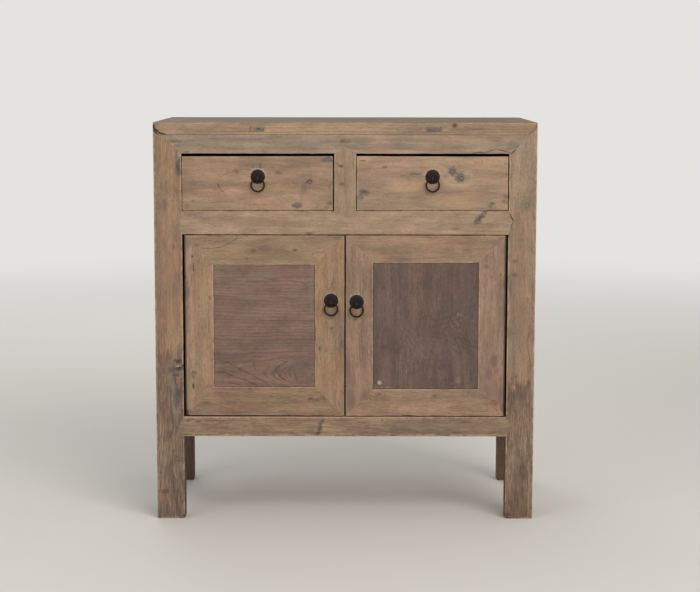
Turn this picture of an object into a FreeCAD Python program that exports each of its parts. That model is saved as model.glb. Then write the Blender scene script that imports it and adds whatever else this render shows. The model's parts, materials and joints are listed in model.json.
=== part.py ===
import FreeCAD
import Part
import Sketcher
import collections
import os
import re

# Kang cabinet of reclaimed wood: two drawers above two doors, on four straight legs.
# Sizes are in millimetres. X runs along the front, Y from the front to the back and Z up.
# The origin is on the floor, under the middle of the whole box, pulls included.

sizes = {
    # Case
    "case_width": 900,
    "case_depth": 446,
    "case_height": 948,
    "foot_height": 201,
    "bottom_rail_height": 48,
    "middle_rail_height": 56,
    "drawer_opening": 134,
    "top_rail_height": 44,
    "board_thickness": 29,
    "front_leg_width": 66,
    "front_leg_depth": 48,
    "back_leg_width": 52,
    "back_leg_depth": 44,
    "front_rail_thickness": 32,
    "back_rail_thickness": 28,
    "side_rail_thickness": 28,
    # Joints: mitred and pointed shoulders lie in the outer layer, tenons behind them
    "shoulder_depth": 15,
    "mitre_rise": 60,
    "rail_point": 14,
    "divider_point": 14,
    "tenon_thickness": 12,
    "tenon_length": 34,
    "tenon_inset": 10,
    "tenon_cover": 3.5,
    "side_tenon_setback": 8,
    "side_tenon_length": 20,
    "divider_tenon_length": 20,
    "mortise_clearance": 0.3,
    "stub_inset": 21,
    "stub_width": 16,
    "stub_height": 13,
    "cut_overrun": 5,
    # Panels of the case, held loose in grooves
    "panel_thickness": 10,
    "panel_setback": 6,
    "panel_tongue": 7,
    "panel_play": 1,
    "groove_clearance": 0.2,
    # Top
    "frame_width": 66,
    "frame_tenon_width": 18,
    "frame_tenon_thickness": 8,
    "frame_tenon_rise": 4,
    "frame_tenon_inset": 22,
    "top_panel_thickness": 11,
    "top_panel_gap": 0.6,
    "top_tongue_thickness": 5,
    "top_tongue_rise": 1.5,
    "batten_offset": 207,
    "batten_width": 42,
    "batten_depth": 24,
    "batten_tenon_width": 34,
    "batten_tenon_height": 10,
    # Drawer bearers
    "divider_width": 52,
    "kicker_width": 80,
    "kicker_height": 33,
    "kicker_tenon_width": 21,
    "kicker_tenon_height": 6.5,
    "runner_thickness": 20,
    "runner_ledge": 18,
    "runner_guide_height": 40,
    # Floor of the cupboard
    "floor_thickness": 12,
    "floor_drop": 6,
    "floor_tongue": 6,
    "floor_board_gap": 0.8,
    "floor_notch_clearance": 1,
    # Drawers
    "drawer_side_gap": 1.5,
    "drawer_top_gap": 5,
    "drawer_bottom_gap": 1.2,
    "drawer_front_thickness": 20,
    "drawer_back_gap": 30,
    "drawer_side_top_gap": 7.7,
    "drawer_side_thickness": 11,
    "drawer_front_lap": 8,
    "drawer_back_thickness": 10,
    "drawer_back_inset": 8,
    "drawer_back_drop": 6,
    "drawer_housing": 4,
    "drawer_bottom_thickness": 8,
    "drawer_bottom_rise": 5,
    "runner_clearance": 0.3,
    # Doors
    "hinge_gap": 3,
    "meeting_gap": 2.5,
    "door_end_gap": 1.5,
    "door_thickness": 22,
    "left_door_member": 70,
    "right_door_member": 65,
    "door_mitre_depth": 7,
    "door_tenon_inset": 14,
    "door_tenon_thickness": 6,
    "door_tenon_setback": 13.5,
    "field_recess": 1,
    "field_gap": 0.5,
    "field_thickness": 11,
    "field_tongue_thickness": 5,
    "hinge_arris_radius": 9,
    "pivot_inset": 14,
    "pivot_setback": 12,
    "pivot_radius": 4.5,
    "pivot_length": 10,
    "pivot_clearance": 0.1,
    "pivot_end_play": 0.5,
    "stop_inset": 40,
    "stop_height": 10,
    "stop_gap": 0.5,
    # Ring pulls
    "plate_radius": 17.25,
    "plate_height": 2.6,
    "staple_drop": 4,
    "staple_width": 4,
    "staple_thickness": 2.2,
    "staple_clearance": 0.3,
    "clinch_length": 9,
    "wire_radius": 1.8,
    "eye_play": 0.5,
    "ring_radius": 15.2,
    "pivot_proud": 7.4,
    "drawer_pull_rise": 80,
    "left_door_pull_drop": 157,
    "right_door_pull_drop": 160,
    "left_door_pull_inset": 32,
    "right_door_pull_inset": 26,
}

# A pull plate from its back edge over the rim to the top of its dome: shares of its radius and height
plate_section_shares = [(1, 0), (1, 0.35), (0.84, 0.4), (0.78, 0.62), (0.6, 0.86), (0.36, 0.97), (0.16, 1)]

# The outer half of a forged ring's eight-sided wire, mirrored for the inner half: shares of its radius
wire_section_shares = [(0.414, -1), (1, -0.414), (1, 0.414), (0.414, 1)]

SIDES = ("left", "right")
ENDS = ("front", "back")
FLOOR_BOARDS = 3
FORGED_SIDES = 36

# Places, as formulas of the sizes
PULL_PROUD = "(pivot_proud + wire_radius + eye_play + staple_thickness)"
OUTER = {
    "left": "-case_width / 2",
    "right": "case_width / 2",
    "front": "(" + PULL_PROUD + " - case_depth) / 2",
    "back": "(" + PULL_PROUD + " + case_depth) / 2",
}
LEG_WIDTH = {"front": "front_leg_width", "back": "back_leg_width"}
LEG_DEPTH = {"front": "front_leg_depth", "back": "back_leg_depth"}
RAIL_THICKNESS = {"front": "front_rail_thickness", "back": "back_rail_thickness"}
FRAME_LOW = "case_height - board_thickness"
TOP_RAIL = (FRAME_LOW + " - top_rail_height", FRAME_LOW)
TOP_OPENING = (TOP_RAIL[0] + " - drawer_opening", TOP_RAIL[0])
MIDDLE_RAIL = (TOP_OPENING[0] + " - middle_rail_height", TOP_OPENING[0])
BOTTOM_RAIL = ("foot_height", "foot_height + bottom_rail_height")
TOP_PANEL_LOW = "case_height - top_panel_thickness"
DRAWER_LENGTH = "case_depth - panel_setback - panel_thickness - drawer_back_gap"
FRONT_TENON_DEEP = ("front_rail_thickness - tenon_cover - tenon_thickness",
                    "front_rail_thickness - tenon_cover")

doc = FreeCAD.newDocument("KangCabinet")
sheet = doc.addObject("Spreadsheet::Sheet", "Sizes")
for row, (alias, number) in enumerate(sizes.items(), 1):
    sheet.set("A%d" % row, alias)
    sheet.set("B%d" % row, str(number))
    sheet.setAlias("B%d" % row, alias)
doc.recompute()

nodes = {}
blanks = {}
tenons = {}
hollows = collections.defaultdict(list)


def formula(text):
    """Point each size named in a formula at its cell of the sheet."""
    return re.sub("[a-z_]+", lambda word: "Sizes." + word.group(), text)


def bind(thing, property_name, text):
    thing.setExpression(property_name, formula(text))


def spot(place, inwards="0"):
    """A coordinate measured inwards from an outer face of the case."""
    sign = "+" if place in ("left", "front") else "-"
    return "%s %s (%s)" % (OUTER[place], sign, inwards)


def span(place, near, far):
    """A stretch between two distances inwards from an outer face of the case."""
    low, high = spot(place, near), spot(place, far)
    return (low, high) if place in ("left", "front") else (high, low)


def between(first, second, from_first, from_second):
    """A stretch between two opposite outer faces, less a distance at each end."""
    return spot(first, from_first), spot(second, from_second)


def centred(width, middle="0"):
    return "%s - (%s) / 2" % (middle, width), "%s + (%s) / 2" % (middle, width)


def wider(stretch, margin):
    return "%s - (%s)" % (stretch[0], margin), "%s + (%s)" % (stretch[1], margin)


def inside(stretch, margin):
    return "%s + (%s)" % (stretch[0], margin), "%s - (%s)" % (stretch[1], margin)


def place(thing, x="0", y="0", z="0"):
    for axis, text in (("x", x), ("y", y), ("z", z)):
        bind(thing, "Placement.Base." + axis, text)


def box(name, x, y, z):
    block = doc.addObject("Part::Box", name)
    for side, stretch in (("Length", x), ("Width", y), ("Height", z)):
        bind(block, side, "%s - (%s)" % (stretch[1], stretch[0]))
    place(block, x[0], y[0], z[0])
    return block


def round_bar(name, axis, radius, length, x, y, z):
    bar = doc.addObject("Part::Cylinder", name)
    bind(bar, "Radius", radius)
    bind(bar, "Height", length)
    bar.Placement.Rotation = FreeCAD.Rotation(FreeCAD.Vector(0, 0, 1), axis)
    place(bar, x, y, z)
    return bar


def draw(sketch, corners):
    """Draw a closed outline whose every corner is bound to its two formulas."""
    count = len(corners)
    up, right = FreeCAD.Vector(0, 0, 1), FreeCAD.Vector(1, 0, 0)
    rough = [FreeCAD.Rotation(up, 360 * turn / count).multVec(right) for turn in range(count)]
    for turn in range(count):
        sketch.addGeometry(Part.LineSegment(rough[turn], rough[(turn + 1) % count]))
    for turn, corner in enumerate(corners):
        sketch.addConstraint(Sketcher.Constraint("Coincident", turn, 2, (turn + 1) % count, 1))
        for kind, text, start in zip(("DistanceX", "DistanceY"), corner, rough[turn]):
            constraint = sketch.addConstraint(Sketcher.Constraint(kind, -1, 1, turn, 1, start))
            bind(sketch, "Constraints[%d]" % constraint, text)


def sketched_body(name, role, corners):
    body = doc.addObject("PartDesign::Body", name)
    sketch = body.newObject("Sketcher::SketchObject", name + "_outline")
    plane = next(feature for feature in body.Origin.OriginFeatures if feature.Role == role)
    sketch.AttachmentSupport = (plane, [""])
    sketch.MapMode = "FlatFace"
    draw(sketch, corners)
    return body, sketch


def prism(name, role, corners, stretch):
    """Pad an outline on one of the three origin planes over a stretch of the third axis."""
    body, sketch = sketched_body(name, role, corners)
    pad = body.newObject("PartDesign::Pad", name + "_pad")
    pad.Profile = sketch
    pad.Reversed = role == "XZ_Plane"
    bind(pad, "Length", "%s - (%s)" % (stretch[1], stretch[0]))
    axis = {"XZ_Plane": "y", "YZ_Plane": "x", "XY_Plane": "z"}[role]
    place(body, **{axis: stretch[0]})
    return body


def forged(name, section, x, y, z):
    """A round form hammered to small flats, through outlines of a radius and a height before y."""
    outlines = []
    for number, (radius, proud) in enumerate(section, 1):
        outline = doc.addObject("Part::RegularPolygon", "%s_outline_%d" % (name, number))
        outline.Polygon = FORGED_SIDES
        bind(outline, "Circumradius", radius)
        outline.Placement.Rotation = FreeCAD.Rotation(FreeCAD.Vector(1, 0, 0), 90)
        place(outline, x, "%s - %s" % (y, proud), z)
        outlines.append(outline)
    loft = doc.addObject("Part::Loft", name)
    loft.Sections = outlines
    loft.Solid = True
    loft.Ruled = True
    loft.Linearize = True
    return loft


def combine(kind, name, pieces):
    if len(pieces) == 1:
        return pieces[0]
    union = doc.addObject(kind, name)
    if kind == "Part::Compound":
        union.Links = pieces
    else:
        union.Shapes = pieces
        union.Refine = kind == "Part::MultiFuse"
    return union


def fused(name, *pieces):
    return combine("Part::MultiFuse", name, list(pieces))


def cut(name, base, tools):
    piece = doc.addObject("Part::Cut", name)
    piece.Base = base
    piece.Tool = fused(name + "_hollows", *tools)
    return piece


def member(name, *pieces, tongues=()):
    """Note a member: its blank, and the tenons that are added after its hollows are cut."""
    blanks[name] = fused(name + "_blank", *pieces)
    tenons[name] = list(tongues)


def let_in(tool, *names):
    for name in names:
        hollows[name].append(tool)


def tenon(name, x, y, z, *receivers):
    """A tenon, with a mortise for it in each receiver, a clearance wider all round."""
    mortise = [wider(stretch, "mortise_clearance") for stretch in (x, y, z)]
    let_in(box(name + "_mortise", *mortise), *receivers)
    return box(name, x, y, z)


def finish_members():
    for name, blank in blanks.items():
        piece = blank
        if hollows[name]:
            piece = cut(name + "_body" if tenons[name] else name, piece, hollows[name])
        if tenons[name]:
            piece = fused(name, piece, *tenons[name])
        nodes[name] = piece


def legs():
    """Four legs, each mitred on both outer faces into the rails and the top's frame."""
    mitre_top = TOP_RAIL[0] + " + mitre_rise"
    for end in ENDS:
        for side in SIDES:
            name = "%s_%s_leg" % (end, side)
            width, depth = LEG_WIDTH[end], LEG_DEPTH[end]
            across, deep = span(side, "0", width), span(end, "0", depth)
            face = [(spot(side), "0"), (spot(side, width), "0"),
                    (spot(side, width), TOP_RAIL[0]), (spot(side), mitre_top)]
            flank = [(spot(end), "0"), (spot(end, depth), "0"),
                     (spot(end, depth), TOP_RAIL[0]), (spot(end), mitre_top)]
            post = doc.addObject("Part::Common", name + "_post")
            post.Base = prism(name + "_face", "XZ_Plane", face, deep)
            post.Tool = prism(name + "_flank", "YZ_Plane", flank, across)
            core = box(name + "_core", span(side, "shoulder_depth", width),
                       span(end, "shoulder_depth", depth), ("0", TOP_RAIL[1]))
            trunk = fused(name + "_trunk", post, core)
            frame = ("top_frame_" + end, "top_frame_" + side)
            stub = tenon(name + "_stub", span(side, "stub_inset", "stub_inset + stub_width"),
                         span(end, "stub_inset", "stub_inset + stub_width"),
                         (TOP_RAIL[1], TOP_RAIL[1] + " + stub_height"), *frame)
            member(name, trunk, tongues=[stub])
            let_in(trunk, "top_%s_rail" % end, side + "_top_rail", *frame)


def long_rail_tenons(name, end, level):
    """Tenons of a rail that runs along the front or the back, into the legs at its ends."""
    deep = span(end, *FRONT_TENON_DEEP)
    if end == "back":
        deep = span(end, "back_rail_thickness / 2 - tenon_thickness / 2",
                    "back_rail_thickness / 2 + tenon_thickness / 2")
    width = LEG_WIDTH[end]
    return [tenon("%s_%s_tenon" % (name, side), span(side, width + " - tenon_length", width),
                  deep, inside(level, "tenon_inset"), "%s_%s_leg" % (end, side)) for side in SIDES]


def side_rail_tenons(name, side, level):
    across = span(side, "side_tenon_setback", "side_tenon_setback + tenon_thickness")
    return [tenon("%s_%s_tenon" % (name, end), across,
                  span(end, LEG_DEPTH[end] + " - side_tenon_length", LEG_DEPTH[end]),
                  inside(level, "tenon_inset"), "%s_%s_leg" % (end, side)) for end in ENDS]


def rail_along(name, end, level, *extra):
    width = LEG_WIDTH[end]
    rail = box(name + "_rail", between("left", "right", width, width),
               span(end, "0", RAIL_THICKNESS[end]), level)
    member(name, rail, *extra, tongues=long_rail_tenons(name, end, level))


def pointed(name, along, level, point, role_points_along):
    """The outer layer of a member whose two ends run out to points."""
    middle = "((%s) + (%s)) / 2"
    if role_points_along == "x":
        height = middle % level
        corners = [(along[0], level[0]), (along[1], level[0]),
                   ("%s + %s" % (along[1], point), height),
                   (along[1], level[1]), (along[0], level[1]),
                   ("%s - %s" % (along[0], point), height)]
    else:
        width = middle % along
        corners = [(along[0], level[0]), (width, "%s - %s" % (level[0], point)),
                   (along[1], level[0]), (along[1], level[1]),
                   (width, "%s + %s" % (level[1], point)), (along[0], level[1])]
    return prism(name, "XZ_Plane", corners, span("front", "0", "shoulder_depth"))


def rails():
    """Rails round the case: mitred at the top, pointed at the front, plain elsewhere."""
    for end in ENDS:
        name = "top_%s_rail" % end
        shoulders = box(name + "_shoulders", between("left", "right", "shoulder_depth", "shoulder_depth"),
                        span(end, "0", "shoulder_depth"), TOP_RAIL)
        rail_along(name, end, TOP_RAIL, shoulders)
    for name, level in (("middle_front_rail", MIDDLE_RAIL), ("bottom_front_rail", BOTTOM_RAIL)):
        along = between("left", "right", "front_leg_width", "front_leg_width")
        face = pointed(name + "_face", along, level, "rail_point", "x")
        let_in(face, "front_left_leg", "front_right_leg")
        rail_along(name, "front", level, face)
    rail_along("middle_back_rail", "back", MIDDLE_RAIL)
    rail_along("bottom_back_rail", "back", BOTTOM_RAIL)
    for side in SIDES:
        for name, level in ((side + "_top_rail", TOP_RAIL), (side + "_bottom_rail", BOTTOM_RAIL)):
            pieces = [box(name + "_rail", span(side, "0", "side_rail_thickness"),
                          between("front", "back", "front_leg_depth", "back_leg_depth"), level)]
            if level == TOP_RAIL:
                pieces.append(box(name + "_shoulders", span(side, "0", "shoulder_depth"),
                                  between("front", "back", "0", "0"), level))
            member(name, *pieces, tongues=side_rail_tenons(name, side, level))


def panels():
    """Side and back panels, each loose in the grooves of the members round it."""
    def panel(name, x, y, z, thin, receivers):
        margins = ["groove_clearance" if axis == thin else "panel_play" for axis in "xyz"]
        slot = [wider(stretch, margin) for stretch, margin in zip((x, y, z), margins)]
        member(name, box(name, x, y, z))
        let_in(box(name + "_groove", *slot), *receivers)

    thickness = ("panel_setback", "panel_setback + panel_thickness")
    for side in SIDES:
        deep = wider(between("front", "back", "front_leg_depth", "back_leg_depth"), "panel_tongue")
        panel(side + "_side_panel", span(side, *thickness), deep,
              wider((BOTTOM_RAIL[1], TOP_RAIL[0]), "panel_tongue"), "x",
              ("front_%s_leg" % side, "back_%s_leg" % side, side + "_top_rail", side + "_bottom_rail"))
    across = wider(between("left", "right", "back_leg_width", "back_leg_width"), "panel_tongue")
    back_legs = ("back_left_leg", "back_right_leg")
    for name, level, rails_round in (
            ("upper_back_panel", (MIDDLE_RAIL[1], TOP_RAIL[0]), ("middle_back_rail", "top_back_rail")),
            ("lower_back_panel", (BOTTOM_RAIL[1], MIDDLE_RAIL[0]), ("bottom_back_rail", "middle_back_rail"))):
        panel(name, across, span("back", *thickness), wider(level, "panel_tongue"), "y",
              back_legs + rails_round)


def top():
    """Mitred frame with a flush panel, carried on two battens whose tenons come through the front."""
    level = (FRAME_LOW, "case_height")
    for place_name in ENDS + SIDES:
        name = "top_frame_" + place_name
        first, second = SIDES if place_name in ENDS else ENDS
        corners = [(spot(first), spot(place_name)), (spot(second), spot(place_name)),
                   (spot(second, "frame_width"), spot(place_name, "frame_width")),
                   (spot(first, "frame_width"), spot(place_name, "frame_width"))]
        if place_name in SIDES:
            corners = [(across, along) for along, across in corners]
        tongues = []
        if place_name in SIDES:
            tongues = [tenon("%s_%s_tenon" % (name, end),
                             span(place_name, "frame_width - panel_tongue - panel_play - frame_tenon_width",
                                  "frame_width - panel_tongue - panel_play"),
                             span(end, "frame_tenon_inset", "frame_width"),
                             (level[0] + " + frame_tenon_rise",
                              level[0] + " + frame_tenon_rise + frame_tenon_thickness"),
                             "top_frame_" + end) for end in ENDS]
        member(name, prism(name + "_board", "XY_Plane", corners, level), tongues=tongues)

    frames = ["top_frame_" + place_name for place_name in ENDS + SIDES]
    field = [between(*pair, "frame_width", "frame_width") for pair in (SIDES, ENDS)]
    tongue_level = (TOP_PANEL_LOW + " + top_tongue_rise",
                    TOP_PANEL_LOW + " + top_tongue_rise + top_tongue_thickness")
    tongue = box("top_panel_tongue", *[wider(stretch, "panel_tongue") for stretch in field], tongue_level)
    groove = [wider(stretch, "panel_tongue + panel_play") for stretch in field]
    let_in(box("top_panel_groove", *groove, wider(tongue_level, "groove_clearance")), *frames)
    board = box("top_panel_field", *[inside(stretch, "top_panel_gap") for stretch in field],
                (TOP_PANEL_LOW, "case_height"))
    member("top_panel", board, tongue)

    battens = []
    tenon_level = (TOP_PANEL_LOW + " - batten_tenon_height", TOP_PANEL_LOW)
    for side, middle in (("left", "-batten_offset"), ("right", "batten_offset")):
        bar = box(side + "_batten_bar", centred("batten_width", middle), field[1],
                  (TOP_PANEL_LOW + " - batten_depth", TOP_PANEL_LOW))
        ends = [tenon("%s_batten_%s_tenon" % (side, end), centred("batten_tenon_width", middle),
                      span(end, "0", "frame_width"), tenon_level, "top_frame_" + end) for end in ENDS]
        battens.append(fused(side + "_batten", bar, *ends))
    nodes["top_battens"] = combine("Part::Compound", "top_battens", battens)


def drawer_bearers():
    """Divider between the drawers, the bar that holds them down, and their runners."""
    width = centred("divider_width")
    face = pointed("drawer_divider_face", width, TOP_OPENING, "divider_point", "z")
    let_in(face, "top_front_rail", "middle_front_rail")
    post = box("drawer_divider_post", width, span("front", "0", "front_rail_thickness"), TOP_OPENING)
    deep = span("front", *FRONT_TENON_DEEP)
    tongues = []
    for name, level, rail in (
            ("upper", (TOP_OPENING[1], TOP_OPENING[1] + " + divider_tenon_length"), "top_front_rail"),
            ("lower", (TOP_OPENING[0] + " - divider_tenon_length", TOP_OPENING[0]), "middle_front_rail")):
        tongues.append(tenon("drawer_divider_%s_tenon" % name, inside(width, "tenon_inset"),
                             deep, level, rail))
    member("drawer_divider", post, face, tongues=tongues)

    kicker_top = TOP_RAIL[0] + " + kicker_height"
    bar = box("centre_kicker_bar", centred("kicker_width"),
              between("front", "back", "front_rail_thickness", "back_rail_thickness"),
              (TOP_RAIL[0], kicker_top))
    ends = [tenon("centre_kicker_%s_tenon" % end, centred("kicker_tenon_width"),
                  span(end, "0", RAIL_THICKNESS[end]), (kicker_top + " - kicker_tenon_height", kicker_top),
                  "top_%s_rail" % end) for end in ENDS]
    nodes["centre_kicker"] = fused("centre_kicker", bar, *ends)

    low, ledge = TOP_OPENING[0] + " - runner_thickness", TOP_OPENING[0]
    high = TOP_OPENING[0] + " + runner_guide_height"
    runners = []
    for side in SIDES:
        wall = spot(side, "panel_setback + panel_thickness")
        guide = spot(side, "front_leg_width")
        lip = spot(side, "front_leg_width + runner_ledge")
        corners = [(wall, low), (lip, low), (lip, ledge), (guide, ledge), (guide, high), (wall, high)]
        runners.append(prism(side + "_side_runner", "XZ_Plane", corners,
                             between("front", "back", "front_leg_depth", "back_leg_depth")))
    nodes["side_runners"] = combine("Part::Compound", "side_runners", runners)
    guide, lip = centred("divider_width"), centred("divider_width + 2 * runner_ledge")
    corners = [(lip[0], low), (lip[1], low), (lip[1], ledge), (guide[1], ledge),
               (guide[1], high), (guide[0], high), (guide[0], ledge), (lip[0], ledge)]
    nodes["centre_runner"] = prism("centre_runner", "XZ_Plane", corners,
                                   between("front", "back", "front_rail_thickness", "back_rail_thickness"))


def cupboard_floor():
    """Loose boards let into the four bottom rails and notched round the legs."""
    across = wider(between("left", "right", "side_rail_thickness", "side_rail_thickness"), "floor_tongue")
    deep = wider(between("front", "back", "front_rail_thickness", "back_rail_thickness"), "floor_tongue")
    level = (BOTTOM_RAIL[1] + " - floor_drop - floor_thickness", BOTTOM_RAIL[1] + " - floor_drop")
    board_depth = "((%s) - (%s) + floor_board_gap) / %d" % (deep[1], deep[0], FLOOR_BOARDS)
    boards = []
    for number in range(FLOOR_BOARDS):
        start = "%s + %d * %s" % (deep[0], number, board_depth)
        boards.append(box("floor_board_%d" % (number + 1), across,
                          (start, "%s + %s - floor_board_gap" % (start, board_depth)), level))
    blanks["floor_boards"] = combine("Part::Compound", "floor_boards_blank", boards)
    tenons["floor_boards"] = []
    for end in ENDS:
        for side in SIDES:
            corner = [wider(span(side, "0", LEG_WIDTH[end]), "floor_notch_clearance"),
                      wider(span(end, "0", LEG_DEPTH[end]), "floor_notch_clearance"),
                      wider(level, "cut_overrun")]
            let_in(box("floor_notch_%s_%s" % (end, side), *corner), "floor_boards")
    groove = box("floor_groove", wider(across, "panel_play"), wider(deep, "panel_play"),
                 wider(level, "groove_clearance"))
    let_in(groove, "bottom_front_rail", "bottom_back_rail", "left_bottom_rail", "right_bottom_rail")


def door_stops():
    """Strips behind the doors, under the middle rail and on the bottom rail."""
    inset = "front_leg_width + stop_inset"
    deep = span("front", "door_thickness + stop_gap", "front_rail_thickness")
    strips = [box("%s_door_stop" % name, between("left", "right", inset, inset), deep, level)
              for name, level in (("upper", (MIDDLE_RAIL[0] + " - stop_height", MIDDLE_RAIL[0])),
                                  ("lower", (BOTTOM_RAIL[1], BOTTOM_RAIL[1] + " + stop_height")))]
    nodes["door_stops"] = combine("Part::Compound", "door_stops", strips)


def ring_pull(name, x, height, thickness, holder):
    """A domed plate, a staple clinched behind the wood, and a ring that hangs in its eye."""
    front = spot("front")
    pivot_y = front + " - pivot_proud"
    pivot_z = "%s - staple_drop" % height
    eye_radius = "wire_radius + eye_play + staple_thickness"
    hole_radius = "wire_radius + eye_play"
    back = "%s + %s" % (front, thickness)
    axis_x = FreeCAD.Vector(1, 0, 0)

    width = centred("staple_width", x)
    eye_start = "%s + %s + staple_thickness / 2" % (pivot_y, hole_radius)
    shank_height = centred("2 * staple_thickness", pivot_z)
    shank = box(name + "_shank", width, (eye_start, back + " + staple_thickness"), shank_height)
    clinch = box(name + "_clinch", width, (back, back + " + staple_thickness"),
                 centred("2 * clinch_length", pivot_z))
    eye = round_bar(name + "_eye", axis_x, eye_radius, "staple_width", width[0], pivot_y, pivot_z)
    bore = round_bar(name + "_bore", axis_x, hole_radius, "staple_width + 2 * cut_overrun",
                     width[0] + " - cut_overrun", pivot_y, pivot_z)
    nodes[name + "_staple"] = cut(name + "_staple", fused(name + "_bent_wire", eye, shank, clinch), [bore])

    hole = box(name + "_hole", wider(width, "staple_clearance"),
               (front + " - plate_height - cut_overrun", back + " + cut_overrun"),
               wider(shank_height, "staple_clearance"))
    section = [("plate_radius * %s" % out, "plate_height * %s" % proud)
               for out, proud in plate_section_shares]
    plate = forged(name + "_disc", section, x, front, height)
    nodes[name + "_plate"] = cut(name + "_plate", plate, [hole])
    let_in(hole, holder)

    ring_z = pivot_z + " - ring_radius"
    halves = [[("ring_radius %s wire_radius * %s" % (sign, out), "wire_radius * %s" % proud)
               for out, proud in wire_section_shares] for sign in "+-"]
    nodes[name + "_ring"] = cut(name + "_ring", forged(name + "_ring_outside", halves[0], x, pivot_y, ring_z),
                                [forged(name + "_ring_inside", halves[1], x, pivot_y, ring_z)])


def drawer(side):
    """A drawer box: lapped front, housed back and a bottom in grooves."""
    name = side + "_drawer"
    near, far = "front_leg_width + drawer_side_gap", "case_width / 2 - divider_width / 2 - drawer_side_gap"
    low = TOP_OPENING[0] + " + runner_clearance"
    top_of_sides = TOP_OPENING[1] + " - drawer_side_top_gap"
    front_level = (TOP_OPENING[0] + " + drawer_bottom_gap", TOP_OPENING[1] + " - drawer_top_gap")
    member(name + "_front", box(name + "_front_board", span(side, near, far),
                                span("front", "0", "drawer_front_thickness"), front_level))

    boards = []
    for board_name, stretch in (("outer", span(side, near, near + " + drawer_side_thickness")),
                                ("inner", span(side, far + " - drawer_side_thickness", far))):
        board = box("%s_%s_side" % (name, board_name), stretch,
                    span("front", "drawer_front_thickness - drawer_front_lap", DRAWER_LENGTH),
                    (low, top_of_sides))
        let_in(board, name + "_front")
        boards.append(board)
    blanks[name + "_sides"] = combine("Part::Compound", name + "_sides_blank", boards)
    tenons[name + "_sides"] = []

    inner = span(side, near + " + drawer_side_thickness", far + " - drawer_side_thickness")
    bottom_level = (low + " + drawer_bottom_rise", low + " + drawer_bottom_rise + drawer_bottom_thickness")
    back_board = box(name + "_back", wider(inner, "drawer_housing"),
                     span("front", DRAWER_LENGTH + " - drawer_back_inset - drawer_back_thickness",
                          DRAWER_LENGTH + " - drawer_back_inset"),
                     (bottom_level[1], top_of_sides + " - drawer_back_drop"))
    nodes[name + "_back"] = back_board
    let_in(back_board, name + "_sides")

    bottom_spans = [wider(inner, "drawer_housing - groove_clearance"),
                    span("front", "drawer_front_thickness - drawer_housing", DRAWER_LENGTH), bottom_level]
    nodes[name + "_bottom"] = box(name + "_bottom", *bottom_spans)
    groove = [wider(inner, "drawer_housing"),
              span("front", "drawer_front_thickness - drawer_housing - groove_clearance",
                   DRAWER_LENGTH + " + cut_overrun"),
              bottom_level]
    let_in(box(name + "_groove", *groove), name + "_front", name + "_sides")
    middle = "((%s) + (%s)) / 2" % span(side, near, far)
    height = TOP_OPENING[0] + " + drawer_pull_rise"
    ring_pull(name, middle, height, "drawer_front_thickness", name + "_front")


def hinge_arris(pad, side):
    """Name the front edge on the hinge side of a door's slab."""
    bounds = pad.Shape.BoundBox
    outer = bounds.XMin if side == "left" else bounds.XMax

    def distance(edge):
        middle = edge.BoundBox.Center
        return abs(middle.x - outer) + abs(middle.y - bounds.YMin)

    edges = pad.Shape.Edges
    return "Edge%d" % (1 + edges.index(min(edges, key=distance)))


def door_slab(name, side, near, far, level):
    """The whole door in one piece, with its hinge arris rounded so that it can turn."""
    corners = [(spot(side, near), level[0]), (spot(side, near), level[1]),
               (spot(side, far), level[1]), (spot(side, far), level[0])]
    slab = prism(name + "_slab", "XZ_Plane", corners, span("front", "0", "door_thickness"))
    doc.recompute()
    pad = slab.Tip
    arris = slab.newObject("PartDesign::Fillet", name + "_hinge_arris")
    arris.Base = (pad, [hinge_arris(pad, side)])
    bind(arris, "Radius", "hinge_arris_radius")
    return slab


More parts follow.
